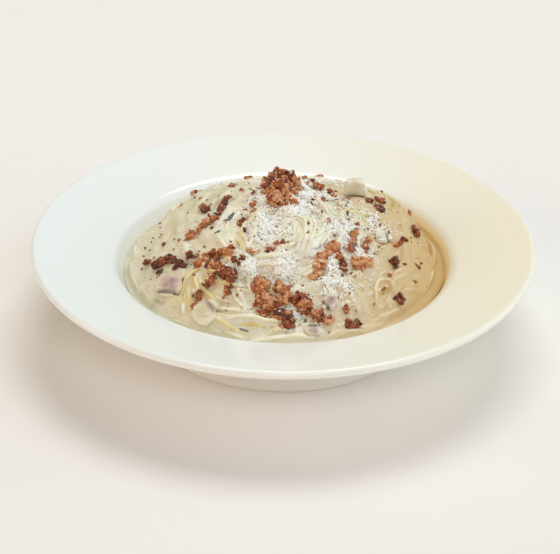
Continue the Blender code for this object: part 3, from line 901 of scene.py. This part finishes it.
def join_copies(name, originals, copies, material, nodes=(), smooth_angle=None):
    """Copies are (which original, 3x3 matrix, place in mm, tone)."""
    places, corners, tones, used = [], [], [], 0
    for which, matrix, place, tone in copies:
        points, faces = originals[which]
        places.append(points @ np.asarray(matrix).T + np.asarray(place))
        corners.append(faces + used)
        tones.append(np.full(len(points), tone))
        used += len(points)
    places, corners, tones = np.concatenate(places) * MM, np.concatenate(corners), np.concatenate(tones)
    mesh = bpy.data.meshes.new(name)
    mesh.vertices.add(len(places))
    mesh.vertices.foreach_set("co", places.ravel())
    mesh.loops.add(corners.size)
    mesh.loops.foreach_set("vertex_index", corners.ravel())
    mesh.polygons.add(len(corners))
    mesh.polygons.foreach_set("loop_start", np.arange(0, corners.size, 3))
    mesh.update(calc_edges=True)
    mesh.attributes.new("tone", "FLOAT", "POINT").data.foreach_set("value", tones)
    finish_piece(name, mesh, material, nodes, smooth_angle)


# %% [markdown]
# ## Sliced mushroom
#
# Button mushrooms are sliced from top to stem, so a slice is a flat profile:
# a domed cap, a short stem, and between them the gills, which cook to a dark
# grey brown. The profile is drawn once as an outline, extruded to its
# thickness and its edges softened. The slice carries its own flat coordinates
# as a UV map, so its gills and skin stay in place however it lies.

# %% Mushroom material
def cooked_mushroom(name, heart_tint, middle_tint, rim_tint, gill_tint, sauce_share):
    """Cooked button mushroom in cream: damp grey-beige flesh with a mauve
    cast, a darker skin round the cap and dark fine gills under it."""
    material, add, shader, in_mm = new_material(name)
    profile = add("TexCoord").outputs["UV"]
    flat = add("SeparateXYZ", {0: profile})
    across, up = flat.outputs["X"], flat.outputs["Y"]
    blotch = add("TexNoise", {"Vector": in_mm, "Scale": 1 / 3.5, "Detail": 4.0})
    from_heart = add("VectorMath", {0: profile, 1: (0.5, 0.68, 0.0)}, operation="DISTANCE")
    heart = add("Math", {0: blotch, 1: 0.35, 2: from_heart}, operation="MULTIPLY_ADD")
    flesh = add("ValToRGB", {"Fac": heart},
                stops=[(0.28, heart_tint), (0.42, middle_tint), (0.55, rim_tint)])
    band = add("ValToRGB", {"Fac": up},
               stops=[(0.29, "#000000"), (0.35, "#FFFFFF"), (0.41, "#FFFFFF"), (0.52, "#000000")])
    stagger = add("Math", {0: blotch, 1: 0.35, 2: across}, operation="MULTIPLY_ADD")
    comb = add("Math", {0: stagger, 1: 150.0}, operation="MULTIPLY")
    teeth = add("Math", {0: comb}, operation="SINE")
    gaps_between = add("MapRange", {"Value": teeth, "From Min": -1.0, "To Min": 0.75, "To Max": 1.0})
    off_middle = add("Math", {0: across, 1: 0.5}, operation="SUBTRACT")
    outward = add("Math", {0: off_middle}, operation="ABSOLUTE")
    under_cap = add("MapRange", {"Value": outward, "From Min": 0.26, "From Max": 0.42, "To Min": 1.0,
                                 "To Max": 0.1})
    toothed = add("Math", {0: band, 1: gaps_between}, operation="MULTIPLY")
    gill_share = add("Math", {0: toothed, 1: under_cap}, operation="MULTIPLY")
    colour = add("Mix", {SHARE: gill_share, UNDER: flesh, OVER: linear(gill_tint)}, data_type="RGBA")
    smear = add("TexNoise", {"Vector": in_mm, "Scale": 1 / 6.0, "Detail": 5.0, "Roughness": 0.6})
    veil = add("MapRange", {"Value": smear, "From Min": 0.47, "From Max": 0.64, "To Max": sauce_share})
    sauced = add("Mix", {SHARE: veil, UNDER: colour, OVER: linear("#DED3B8")}, data_type="RGBA")
    set_inputs(shader, {"Base Color": sauced, "Roughness": 0.35, "Subsurface Weight": 0.15,
                        "Subsurface Radius": (1.0, 0.7, 0.5), "Subsurface Scale": 1.2 * MM,
                        "Normal": relief(add, in_mm, 0.8, 3.0, strength=0.3, height=0.3)})
    return material


# %% A mushroom slice


def slice_outline(width, length, stem):
    """Half of the slice's outline from the cap's top to the stem's foot, mirrored.
    Of the stem only a share is left."""
    half = [(0.0, 1.0), (0.16, 0.985), (0.30, 0.93), (0.41, 0.83), (0.48, 0.70), (0.50, 0.58),
            (0.475, 0.47), (0.41, 0.40), (0.32, 0.375), (0.22, 0.37), (0.155, 0.33),
            (0.135, 0.22), (0.145, 0.10), (0.12, 0.02), (0.0, 0.0)]
    half = [(x * (1.6 - 0.6 * stem), 0.34 - (0.34 - y) * stem) if y < 0.34 else (x, y) for x, y in half]
    whole = half + [(-x, y) for x, y in half[-2:0:-1]]
    return [(x * width, (y - 0.5) * length, x, y) for x, y in whole]


def surface_frame(x, y, turn):
    """Directions along, across and out of the heap at a place, as a matrix."""
    reach = 3.0
    dx = (read_map(ground, x + reach, y) - read_map(ground, x - reach, y)) / (2 * reach)
    dy = (read_map(ground, x, y + reach) - read_map(ground, x, y - reach)) / (2 * reach)
    out = Vector((-float(dx), -float(dy), 1.0)).normalized()
    along = Vector((math.cos(turn), math.sin(turn), 0.0))
    along = (along - out * along.dot(out)).normalized()
    return Matrix((along, out.cross(along), out)).transposed()


def mushroom_slice(node, flesh, x, y, width, length, thickness, turn, tilt, lift, stem):
    """A slice that lies on the heap, or leans up by its tilt in degrees."""
    shape = bmesh.new()
    uv = shape.loops.layers.uv.new("flat")
    outline = slice_outline(width, length, stem)
    uneven = [noise.noise_vector(Vector((x + 2.5 * u, y + 2.5 * v, 0.0))) for _, _, u, v in outline]
    verts = [shape.verts.new((px + 0.16 * width * n.x, py + 0.12 * length * n.y, 0.0))
             for (px, py, _, _), n in zip(outline, uneven)]
    face = shape.faces.new(verts)
    for loop, (_, _, u, v) in zip(face.loops, outline):
        loop[uv].uv = (u + 0.5, v)
    top = bmesh.ops.extrude_face_region(shape, geom=[face])["geom"]
    raised = [g for g in top if isinstance(g, bmesh.types.BMVert)]
    bmesh.ops.translate(shape, verts=raised, vec=(0, 0, thickness))
    bmesh.ops.recalc_face_normals(shape, faces=shape.faces)
    sharp = [e for e in shape.edges if e.is_manifold and e.calc_face_angle() > 1.0]
    bmesh.ops.bevel(shape, geom=sharp, affect="EDGES", offset=0.22 * thickness, segments=2,
                    profile=0.5, material=-1)
    bmesh.ops.triangulate(shape, faces=[f for f in shape.faces if len(f.verts) > 4])
    bmesh.ops.subdivide_edges(shape, edges=[e for e in shape.edges if e.calc_length() > 2.5],
                              cuts=1, use_grid_fill=True)
    lean = surface_frame(x, y, math.radians(turn)) @ Matrix.Rotation(math.radians(tilt), 3, "X")
    base = Vector((x, y, height_at(x, y) + lift))
    for vertex in shape.verts:
        warp = 0.9 * noise.noise(vertex.co * 0.14 + base)
        vertex.co = (base + lean @ (vertex.co + Vector((0, 0, warp)))) * MM
    spots = np.array([v.co[:] for v in shape.verts]) / MM
    stamp(ground, *spots.T, 0.7)
    finish_piece(node + "_flesh", shape, flesh, [node], smooth_angle=50)


# %% Mushroom pieces: node, flesh, x, y, width, length, thickness, turn, tilt, lift, stem
mauve_mushroom = cooked_mushroom("cooked_mushroom", "#AE918F", "#CBB8A8", "#E0D4BC", "#4A4142", 0.3)
pale_mushroom = cooked_mushroom("pale_mushroom", "#DDD3BE", "#E8E0CC", "#F1EADB", "#6E6259", 0.5)
creamed_mushroom = cooked_mushroom("creamed_mushroom", "#DCD0AD", "#E4DABE", "#ECE4CC", "#8C8070", 0.55)
SLICES = [
    ("mushroom_slice_left", mauve_mushroom, -61, -46.5, 18.5, 19, 2.4, -14, 8, -0.7, 0.3),
    ("mushroom_slice_front_left", creamed_mushroom, -39, -66, 20, 19, 2, 108, 4, 1.6, 0.4),
    ("mushroom_slice_front", mauve_mushroom, 16, -79, 9.5, 8.5, 2.2, 190, 0, -0.9, 0.3),
    ("mushroom_slice_centre", mauve_mushroom, 23.8, -65.5, 9, 11, 2, -48, 8, 0.5, 0.8),
    ("mushroom_slice_right", pale_mushroom, 55.5, -10.5, 12.5, 11, 2.4, 95, 0, -1.2, 0.6),
    ("mushroom_slice_back", mauve_mushroom, 34, 8, 10.5, 9, 2.2, 70, 10, -1, 0.8),
]
for settings in SLICES:
    mushroom_slice(*settings)

# %% A mushroom chunk
def mushroom_chunk():
    """A thick piece of stem that stands on edge at the back of the nest."""
    low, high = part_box("mushroom_chunk_back")
    size, middle = (high - low) / MM, (high + low) / 2 / MM
    middle.x += 0.1 * size.x
    shape = bmesh.new()
    bmesh.ops.create_cube(shape, size=1.0)
    bmesh.ops.scale(shape, verts=shape.verts, vec=(size.x * 0.78, size.y * 0.7, size.z))
    bmesh.ops.bevel(shape, geom=shape.edges, affect="EDGES", offset=0.9, segments=3, profile=0.5,
                    material=-1)
    bmesh.ops.subdivide_edges(shape, edges=[e for e in shape.edges if e.calc_length() > 2.0],
                              cuts=4, use_grid_fill=True)
    uv = shape.loops.layers.uv.new("flat")
    for face in shape.faces:
        for loop in face.loops:
            loop[uv].uv = (loop.vert.co.x / size.x + 0.5, 0.75)
    for vertex in shape.verts:
        wave = noise.noise_vector(vertex.co * 0.22) * 1.1 + noise.noise_vector(vertex.co * 0.7) * 0.4
        narrower = Vector((vertex.co.x * (1.0 - 0.012 * vertex.co.z), *vertex.co.yz))
        vertex.co = (middle + narrower + wave) * MM
    finish_piece("mushroom_chunk_flesh", shape, pale_mushroom, ["mushroom_chunk_back"],
                 smooth_angle=60)


mushroom_chunk()

# %% [markdown]
# ## Grated cheese
#
# Hard cheese on a grater falls as thin flat curls, white against the noodles.
# A curl is a narrow strip, bent along its length and given a little
# thickness. They lie over each other in a loose veil, thickest beside the
# nest, and each is turned to lie flat on what is under it.

# %% Cheese curls
rng = np.random.default_rng(31)
CURL_KINDS = 16
CURL_THICKNESS = 0.20  # mm
CHEESE_REACH = 78  # mm from the axis


def cheese_curl(length, width, arch, bend):
    """A strip along x: arch lifts its middle, bend curves it sideways."""
    shape = bmesh.new()
    bmesh.ops.create_grid(shape, x_segments=7, y_segments=1, size=0.5)
    for vertex in shape.verts:
        along, across = vertex.co.x, vertex.co.y
        taper = 1.0 - 0.5 * abs(2 * along) ** 3
        run, out, heading = length * along, width * across * taper, bend * along
        vertex.co = (run * math.cos(heading * 0.5) - out * math.sin(heading),
                     run * math.sin(heading * 0.5) + out * math.cos(heading),
                     arch * (0.5 - 4 * along * along * 0.5))
    bmesh.ops.solidify(shape, geom=shape.verts[:] + shape.edges[:] + shape.faces[:],
                       thickness=CURL_THICKNESS)
    return shape_arrays(shape)


curls = [cheese_curl(rng.uniform(2.0, 5.6), rng.uniform(0.45, 0.95), rng.uniform(0.0, 0.7),
                     rng.uniform(-1.6, 1.6)) for _ in range(CURL_KINDS)]
print(CURL_KINDS, "curls of", len(curls[0][1]), "triangles")

# %% Where cheese fell: x, y, spread x, spread y, share of all shreds
CHEESE = [
    (6, -3, 6, 4.5, 15), (15, 14, 5, 7, 9), (30, -12, 7, 9, 8), (41, -27, 5, 7, 3), (27, -45, 3, 3.5, 2.5),
    (24, -56, 5.5, 3.5, 3.5), (0, -49, 5, 5, 8), (50, 2, 5, 5, 1.8), (-10, -20, 7, 8, 12),
    (-18, -45, 5, 5, 4), (33, -55, 6, 6, 1.4), (5, -73, 3, 2, 1.5), (0, 30, 10, 7, 4), (-10, 8, 6, 7, 5),
    (5, -20, 27, 26, 5), (-5, 2, 38, 38, 2), (-18, 50, 10, 9, 2.5), (26, 48, 10, 9, 2.5),
]


def grate(count, batches=10):
    """Curls that fall in batches and pile up a little."""
    shares = np.array([spot[4] for spot in CHEESE], float)
    copies = []
    for _ in range(batches):
        even = blur(ground, 1.8)
        slope_y, slope_x = np.gradient(even, CELL)
        spots = np.array(CHEESE)[rng.choice(len(CHEESE), count // batches, p=shares / shares.sum())]
        away = rng.normal(0, 1, (len(spots), 2))
        sizes = np.clip(1.25 - 0.32 * np.hypot(*away.T), 0.45, 1.1)  # finer at the edge of a heap
        for (x, y), fine in zip(spots[:, :2] + away * spots[:, 2:4], sizes):
            if math.hypot(x, y) > CHEESE_REACH:
                continue
            out = Vector((-float(read_map(slope_x, x, y)), -float(read_map(slope_y, x, y)), 1.0))
            lie = np.array(out.to_track_quat("Z", "Y").to_matrix())
            loose = tumbled(0.16)
            z = 0.5 * height_at(x, y) + 0.5 * float(read_map(even, x, y)) + 0.25
            copies.append((int(rng.integers(CURL_KINDS)), lie @ loose * rng.uniform(0.8, 1.2) * fine,
                           (x, y, z), rng.random()))
            stamp(ground, [x], [y], [z - 1.0], 1.1)
    return copies


def grated_hard_cheese():
    """Grated hard cheese: warm white, waxy and nearly matte, a little
    translucent at its thin edges."""
    material, add, shader, in_mm = new_material("grated_hard_cheese")
    milky = add("TexNoise", {"Vector": in_mm, "Scale": 1 / 4, "Detail": 3.0})
    colour = add("ValToRGB", {"Fac": milky}, stops=[(0.35, "#F6F2E6"), (0.65, "#FDFCF6")])
    set_inputs(shader, {"Base Color": colour, "Roughness": 0.6, "Subsurface Weight": 0.1,
                        "Subsurface Radius": (1.0, 0.95, 0.85), "Subsurface Scale": 0.5 * MM})
    return material


cheese = grated_hard_cheese()
join_copies("cheese_curls", curls, grate(count=2900), cheese, ["grated_cheese"],
            smooth_angle=50)
print("map top", round(float(ground.max()), 1), "mm")

# %% [markdown]
# ## Chopped bacon
#
# Smoked bacon is diced small and fried until its edges brown. A crumb is an
# uneven lump: lean meat is red brown, the fat between is tan and translucent,
# and the outside glistens. A ball that is squared a little, as diced meat is,
# then pushed in and out by noise and stretched, gives such a lump.

# %% Bacon crumbs
rng = np.random.default_rng(32)
CRUMB_KINDS = 14
BOXINESS = 0.58  # 1 is round, less is squarer
LUMPS = [(1.2, 0.48), (3.1, 0.20), (7.0, 0.09)]  # how fine each noise is, how far it swells


def crumb(seed, detail=3, boxiness=BOXINESS):
    """A lump about 1 mm in radius."""
    shape = bmesh.new()
    bmesh.ops.create_icosphere(shape, subdivisions=detail, radius=1.0)
    shift = Vector((seed * 7.3, seed * 3.1, seed * 5.7))
    for vertex in shape.verts:
        way = vertex.co.normalized()
        swell = 1.0
        for fineness, height in LUMPS:
            swell += height * noise.noise(way * fineness + shift)
        diced = Vector([math.copysign(abs(c) ** boxiness, c) for c in way])
        vertex.co = diced * max(swell, 0.4)
    long, flat = 1.1 + 0.12 * (seed % 6), 0.80 - 0.06 * (seed % 5)
    bmesh.ops.scale(shape, verts=shape.verts, vec=(long, 0.85, flat))
    return shape_arrays(shape)


def fried_bacon():
    """Diced smoked bacon, fried: red-brown lean, tan fat, dark edges, a film
    of hot fat that glistens."""
    material, add, shader, in_mm = new_material("fried_bacon")
    tone = add("Attribute", attribute_name="tone").outputs["Fac"]
    grain = add("TexNoise", {"Vector": in_mm, "Scale": 1 / 1.9, "Detail": 4.0, "Roughness": 0.65,
                             "Distortion": 0.8})
    share = add("Math", {0: tone, 1: 0.76, 2: -0.66}, operation="MULTIPLY_ADD")
    mixed_tone = add("Math", {0: grain, 1: 1.6, 2: share}, operation="MULTIPLY_ADD")
    meat = add("ValToRGB", {"Fac": mixed_tone}, stops=[(0.16, "#4E2314"), (0.32, "#863E1C"),
                                                       (0.48, "#B06130"), (0.64, "#CB8650"),
                                                       (0.84, "#DEAC7E")])
    set_inputs(shader, {"Base Color": meat, "Roughness": 0.38, "Subsurface Weight": 0.12,
                        "Subsurface Radius": (1.0, 0.4, 0.2), "Subsurface Scale": 0.8 * MM,
                        "Normal": relief(add, in_mm, 0.7, 3.0, strength=0.6, height=0.4)})
    return material


crumbs = [crumb(k) for k in range(CRUMB_KINDS)]
bacon = fried_bacon()

# %% Dropping and piling crumbs
def drop_crumbs(spots, sink=0.4):
    """Set crumbs on the map one after another: x, y, radius and tone of each."""
    copies = []
    for x, y, radius, tone in spots:
        ring = np.linspace(0, math.tau, 7)[:-1]
        under = read_map(ground, x + 0.6 * radius * np.cos(ring), y + 0.6 * radius * np.sin(ring))
        z = float(np.mean(under)) + radius * (0.75 - sink)
        size = radius * rng.uniform(0.85, 1.15, 3)
        matrix = tumbled(0.5) * size
        copies.append((int(rng.integers(CRUMB_KINDS)), matrix, (x, y, z), tone))
        stamp(ground, [x], [y], [z - 0.1 * radius], 0.8 * radius)
    return copies


def pile(centre, half_long, half_wide, turn, count, big, tones=(0.15, 0.85)):
    """Places of the crumbs of one pile, big ones first."""
    along = np.array([math.cos(math.radians(turn)), math.sin(math.radians(turn))])
    across = np.array([-along[1], along[0]])
    spots = []
    for k in range(count):
        reach = math.sqrt(rng.random()) * rng.uniform(0.7, 1.1)
        bearing = rng.uniform(0, math.tau)
        place = (np.array(centre) + along * half_long * reach * math.cos(bearing)
                 + across * half_wide * reach * math.sin(bearing))
        radius = big * (rng.uniform(0.95, 1.35) if k < 0.28 * count else rng.uniform(0.3, 0.8))
        spots.append((place[0], place[1], radius, rng.uniform(*tones)))
    for _ in range(count // 2):  # fine crumbs round about
        place = np.array(centre) + (half_long + half_wide) * rng.normal(0, 0.5, 2)
        spots.append((place[0], place[1], rng.uniform(0.25, 0.6), rng.uniform(*tones)))
    return spots


# %% Piles of bacon: CAD node, then its heaps of crumbs
BACON = {
    "bacon_crown": [
        ((-1, 16), 11.5, 9, 4, 150, 1.55, (0.1, 0.95)), ((-1.5, 18.5), 10, 4, 0, 80, 1.5, (0, 0.75)),
        ((-1.5, 2.5), 9, 4, -5, 66, 1.4, (0.4, 0.95)), ((-1, 22), 9.5, 3, 0, 70, 1.35, (0, 0.6)),
        ((-1, 22), 6.5, 1.8, 0, 24, 1.1, (0, 0.5)),
    ],
    "bacon_trail": [
        ((-34, 9.5), 12.5, 1, 77, 52, 1.2, (0, 0.45)), ((-42.5, -6.5), 6.5, 1.5, 34, 24, 1.5),
        ((-50, -12), 3, 1.5, 55, 8, 1.5, (0.3, 0.7)),
    ],
    "bacon_left": [
        ((-62.5, -26), 8, 2.4, -22, 26, 1.7, (0, 0.45)), ((-55.7, -32), 2, 1.8, 0, 5, 1.7, (0, 0.3)),
        ((-76, -17.5), 2.5, 1.8, 0, 6, 1.5, (0.2, 0.5)),
    ],
    "bacon_centre_left": [
        ((-28.5, -52.5), 4.2, 5.5, 15, 26, 2, (0, 0.3)), ((-34, -33), 9, 2.6, 5, 24, 1.7),
        ((-27.5, -58), 2.5, 5, 0, 12, 1.6, (0.2, 0.6)), ((-36, -43), 3.5, 4, 0, 12, 1.9),
        ((-23, -43.5), 3, 2, -20, 7, 1.5, (0.1, 0.4)), ((-45, -37), 2.2, 2.2, 0, 5, 1.8),
    ],
    "bacon_front": [
        ((-10.8, -58), 4.2, 8, 0, 48, 1.8, (0.35, 0.95)), ((-9, -69), 6.5, 4.5, -10, 42, 1.8, (0.25, 0.9)),
        ((0, -63), 4.5, 7, 10, 40, 1.7, (0.35, 0.95)), ((10.5, -68), 6.5, 4, -10, 40, 1.8, (0.05, 0.7)),
        ((1, -75), 6, 3, -5, 22, 1.8, (0, 0.6)), ((21, -73), 5.5, 2.2, 5, 12, 1.6, (0.2, 0.8)),
    ],
    "bacon_right": [
        ((20.2, -45.5), 11.5, 2.6, 62, 38, 1.7, (0.4, 1)),
        ((31, -38.5), 8.5, 1.6, -72, 18, 1.35, (0.2, 0.7)), ((27.5, -33), 3, 2.4, 0, 9, 1.8, (0.4, 0.9)),
    ],
    "bacon_far_right": [
        ((42.5, -38), 5.5, 2.8, 0, 22, 1.8, (0.45, 1)), ((37.5, -24), 8.5, 1.5, 85, 18, 1.3, (0.25, 0.8)),
        ((45.5, -22), 7, 1.5, 84, 14, 1.3, (0.25, 0.8)),
    ],
}
for node, heaps in BACON.items():
    spots = [spot for heap in heaps for spot in pile(*heap)]
    sink = 0.2 if node == "bacon_crown" else 0.4
    join_copies(node + "_crumbs", crumbs, drop_crumbs(spots, sink), bacon, [node])

# %% Loose bacon: x, y, radius, how many at each place, and at times its darkest and palest tone
LOOSE = [
    (-45.5, 11.5, 2.1, 3), (-24, 24, 1.2, 1), (-21.6, -4.5, 1.9, 4, 0, 0.4), (-17.5, 6.1, 1.4, 2),
    (-16.5, 12.9, 1.2, 2), (-16.4, -5, 1.3, 2, 0.3, 0.7), (-21, -19, 1.3, 1),
    (-17.5, -37.3, 1.3, 5, 0.6, 1), (-13, -37.8, 1.1, 2, 0.6, 1), (-7, -36.5, 1.4, 4, 0.3, 0.9),
    (-3, -34, 1.3, 4, 0.4, 1), (-0.5, -31.2, 1.1, 2, 0.3, 0.7), (-45.7, -59, 2, 3), (-40, -55, 1.8, 3),
    (-36, -52, 1.6, 2), (2.5, -79.5, 2.1, 4), (-50, -29, 1.8, 3), (36, -72.5, 2, 5), (40, -70, 1.6, 3),
    (34, -66, 1.2, 2), (60.5, -29.5, 1.9, 4, 0, 0.35), (60.5, -15.8, 1.5, 2, 0.2, 0.8),
    (64, -14.5, 1.6, 3, 0.2, 0.8), (66.5, -15, 1.4, 2), (48.5, 19.5, 1.6, 3, 0, 0.5), (55, 23.5, 1.5, 4),
    (53.3, 11.5, 1.7, 2, 0, 0.4), (73.4, 15.6, 2, 3, 0, 0.4), (71.5, 25.5, 1.3, 1), (72, -34, 1.2, 1),
    (62.5, -52.3, 1.9, 2, 0, 0.4), (58, -38, 1.3, 1), (75, -19, 1, 1), (20, 32, 2, 5), (14, 30, 1.5, 3),
    (27, 22, 1.5, 2), (25.4, 26.8, 1.4, 2, 0.3, 0.6), (22, 11, 1.7, 1), (-66, -6, 1, 1), (12, 42, 1.4, 2),
    (-12, 38, 1.2, 2), (40, 44, 1.5, 2), (-30, 34, 1.3, 2), (32, 62, 1.4, 2), (-34, 56, 1.5, 2),
    (2, 62, 1.7, 3), (-58, 30, 1.3, 1), (56, 48, 1.3, 2), (-20, 74, 2, 4), (19, 67, 1.7, 4),
    (-50, 56, 1.8, 4), (10, 76, 1.5, 3), (41, -8, 1.3, 1), (32, -11, 0.8, 2), (25, -16, 2, 1),
    (32, -50, 1.2, 1), (36, -55, 0.8, 1), (26, -54, 0.7, 1), (29, -61.5, 1.2, 1), (54.5, -48, 0.9, 1),
    (40, -12, 0.9, 2), (28, -24, 0.8, 2), (16, 38, 1.5, 3),
]
LOOSE_REACH = 80  # mm from the axis
spots = []
for x, y, radius, count, *tones in LOOSE:
    for k in range(count if count == 1 else 2 * count):
        spread = rng.normal(0, 0.75 * radius if count > 1 else 0.2, 2)
        size = radius * (rng.uniform(0.7, 1.1) if 2 * k < count + 1 else rng.uniform(0.3, 0.7))
        spots.append((x + spread[0], y + spread[1], size, rng.uniform(*(tones or (0.05, 0.6)))))
for _ in range(150):  # fine crumbs all over
    spots.append((*within(LOOSE_REACH), rng.uniform(0.35, 0.8), rng.uniform(0.0, 0.6)))
join_copies("bacon_loose", crumbs, drop_crumbs(spots), bacon)

# %% [markdown]
# ## Last bits
#
# A few curls of cheese fell after the bacon. Fine crumbs of cheese, cracked
# pepper and dark slivers of mushroom gill lie everywhere else.

# %% Late curls and cheese crumbs
rng = np.random.default_rng(33)
join_copies("cheese_curls_late", curls, grate(300, batches=4), cheese, smooth_angle=50)
grains = [crumb(40 + k, detail=1) for k in range(6)]
GRAIN_REACH = 84  # mm from the axis


def sprinkle(count, sizes, thinned=None):
    """Grains strewn on the map; a second map may thin them out."""
    copies = []
    while len(copies) < count:
        x, y = within(GRAIN_REACH)
        if thinned is not None and rng.random() > read_map(thinned, x, y):
            continue
        radius = rng.uniform(*sizes)
        matrix = turned(rng.uniform(0, math.tau, 3)) * radius
        z = height_at(x, y) + 0.3 * radius
        copies.append((int(rng.integers(len(grains))), matrix, (x, y, z), rng.random()))
    return copies


cheesy = np.clip(blobs([(x, y, sx * 2.2, sy * 2.2, 1.0) for x, y, sx, sy, _ in CHEESE[:14]]) + 0.05, 0, 1)
join_copies("cheese_crumbs", grains, sprinkle(1800, (0.25, 0.6), cheesy), cheese)

# %% Pepper and gill slivers
def dark_bits(name, hex_low, hex_high, roughness):
    """Pepper or gills: dark, uneven, each bit of its own tone."""
    material, add, shader, in_mm = new_material(name)
    tone = add("Attribute", attribute_name="tone").outputs["Fac"]
    mottle = add("TexNoise", {"Vector": in_mm, "Scale": 1 / 0.8, "Detail": 2.0})
    mixed_tone = add("Math", {0: tone, 1: mottle}, operation="MULTIPLY")
    colour = add("ValToRGB", {"Fac": mixed_tone}, stops=[(0.0, hex_low), (0.6, hex_high)])
    set_inputs(shader, {"Base Color": colour, "Roughness": roughness})
    return material


pepper = dark_bits("cracked_pepper", "#3A332C", "#7C6A56", 0.7)
join_copies("pepper_specks", grains, sprinkle(100, (0.18, 0.38)), pepper)

# slivers: x, y, length, width, turn in degrees, tone
SLIVERS = [
    (-29, -2, 8, 2.6, 66, 0.3), (-31, -6, 4, 1.8, 30, 0.5), (-36, -17, 5, 1.8, 60, 0.3),
    (-54, -15, 8, 1, 4, 0.5), (-67, -30.5, 7.5, 4.4, 14, 0), (-70, -25, 4, 2.4, 60, 0.2),
    (52, -11.5, 11, 0.8, 6, 0.7), (55, -14.5, 10, 0.7, 0, 0.8), (37.5, -30, 4, 1.5, 60, 0.2),
    (51, -27, 5, 0.9, -35, 0.5), (30, 11, 7, 1.2, -15, 0.6), (23.5, -52, 3, 2.4, 20, 0.3),
    (4, -58, 3, 1.4, 80, 0.4), (-19, -80, 5, 1.5, -35, 0.7), (62, -33, 4, 1.6, 15, 0.8),
    (17, -72.5, 5.5, 2.4, -30, 0), (25, -15, 1.6, 3.6, 8, 0.1), (-8, 50, 6, 1.2, 20, 0.4),
    (40, 60, 6, 1.3, -30, 0.5), (-50, 40, 7, 1.1, 40, 0.6),
]
flakes = [crumb(60 + k, boxiness=1.1) for k in range(6)]


def slivers():
    """Flakes pulled long and laid flat on the heap."""
    copies = []
    for x, y, length, width, turn, tone in SLIVERS:
        lie = np.array(surface_frame(x, y, math.radians(turn)))
        matrix = lie @ np.diag([length / 2.4, width / 1.8, 0.35])
        place = (x, y, height_at(x, y) + 0.05)
        copies.append((int(rng.integers(len(flakes))), matrix, place, tone))
    return copies


gills = dark_bits("mushroom_gills", "#36393D", "#A09896", 0.4)
join_copies("mushroom_slivers", flakes, slivers(), gills)
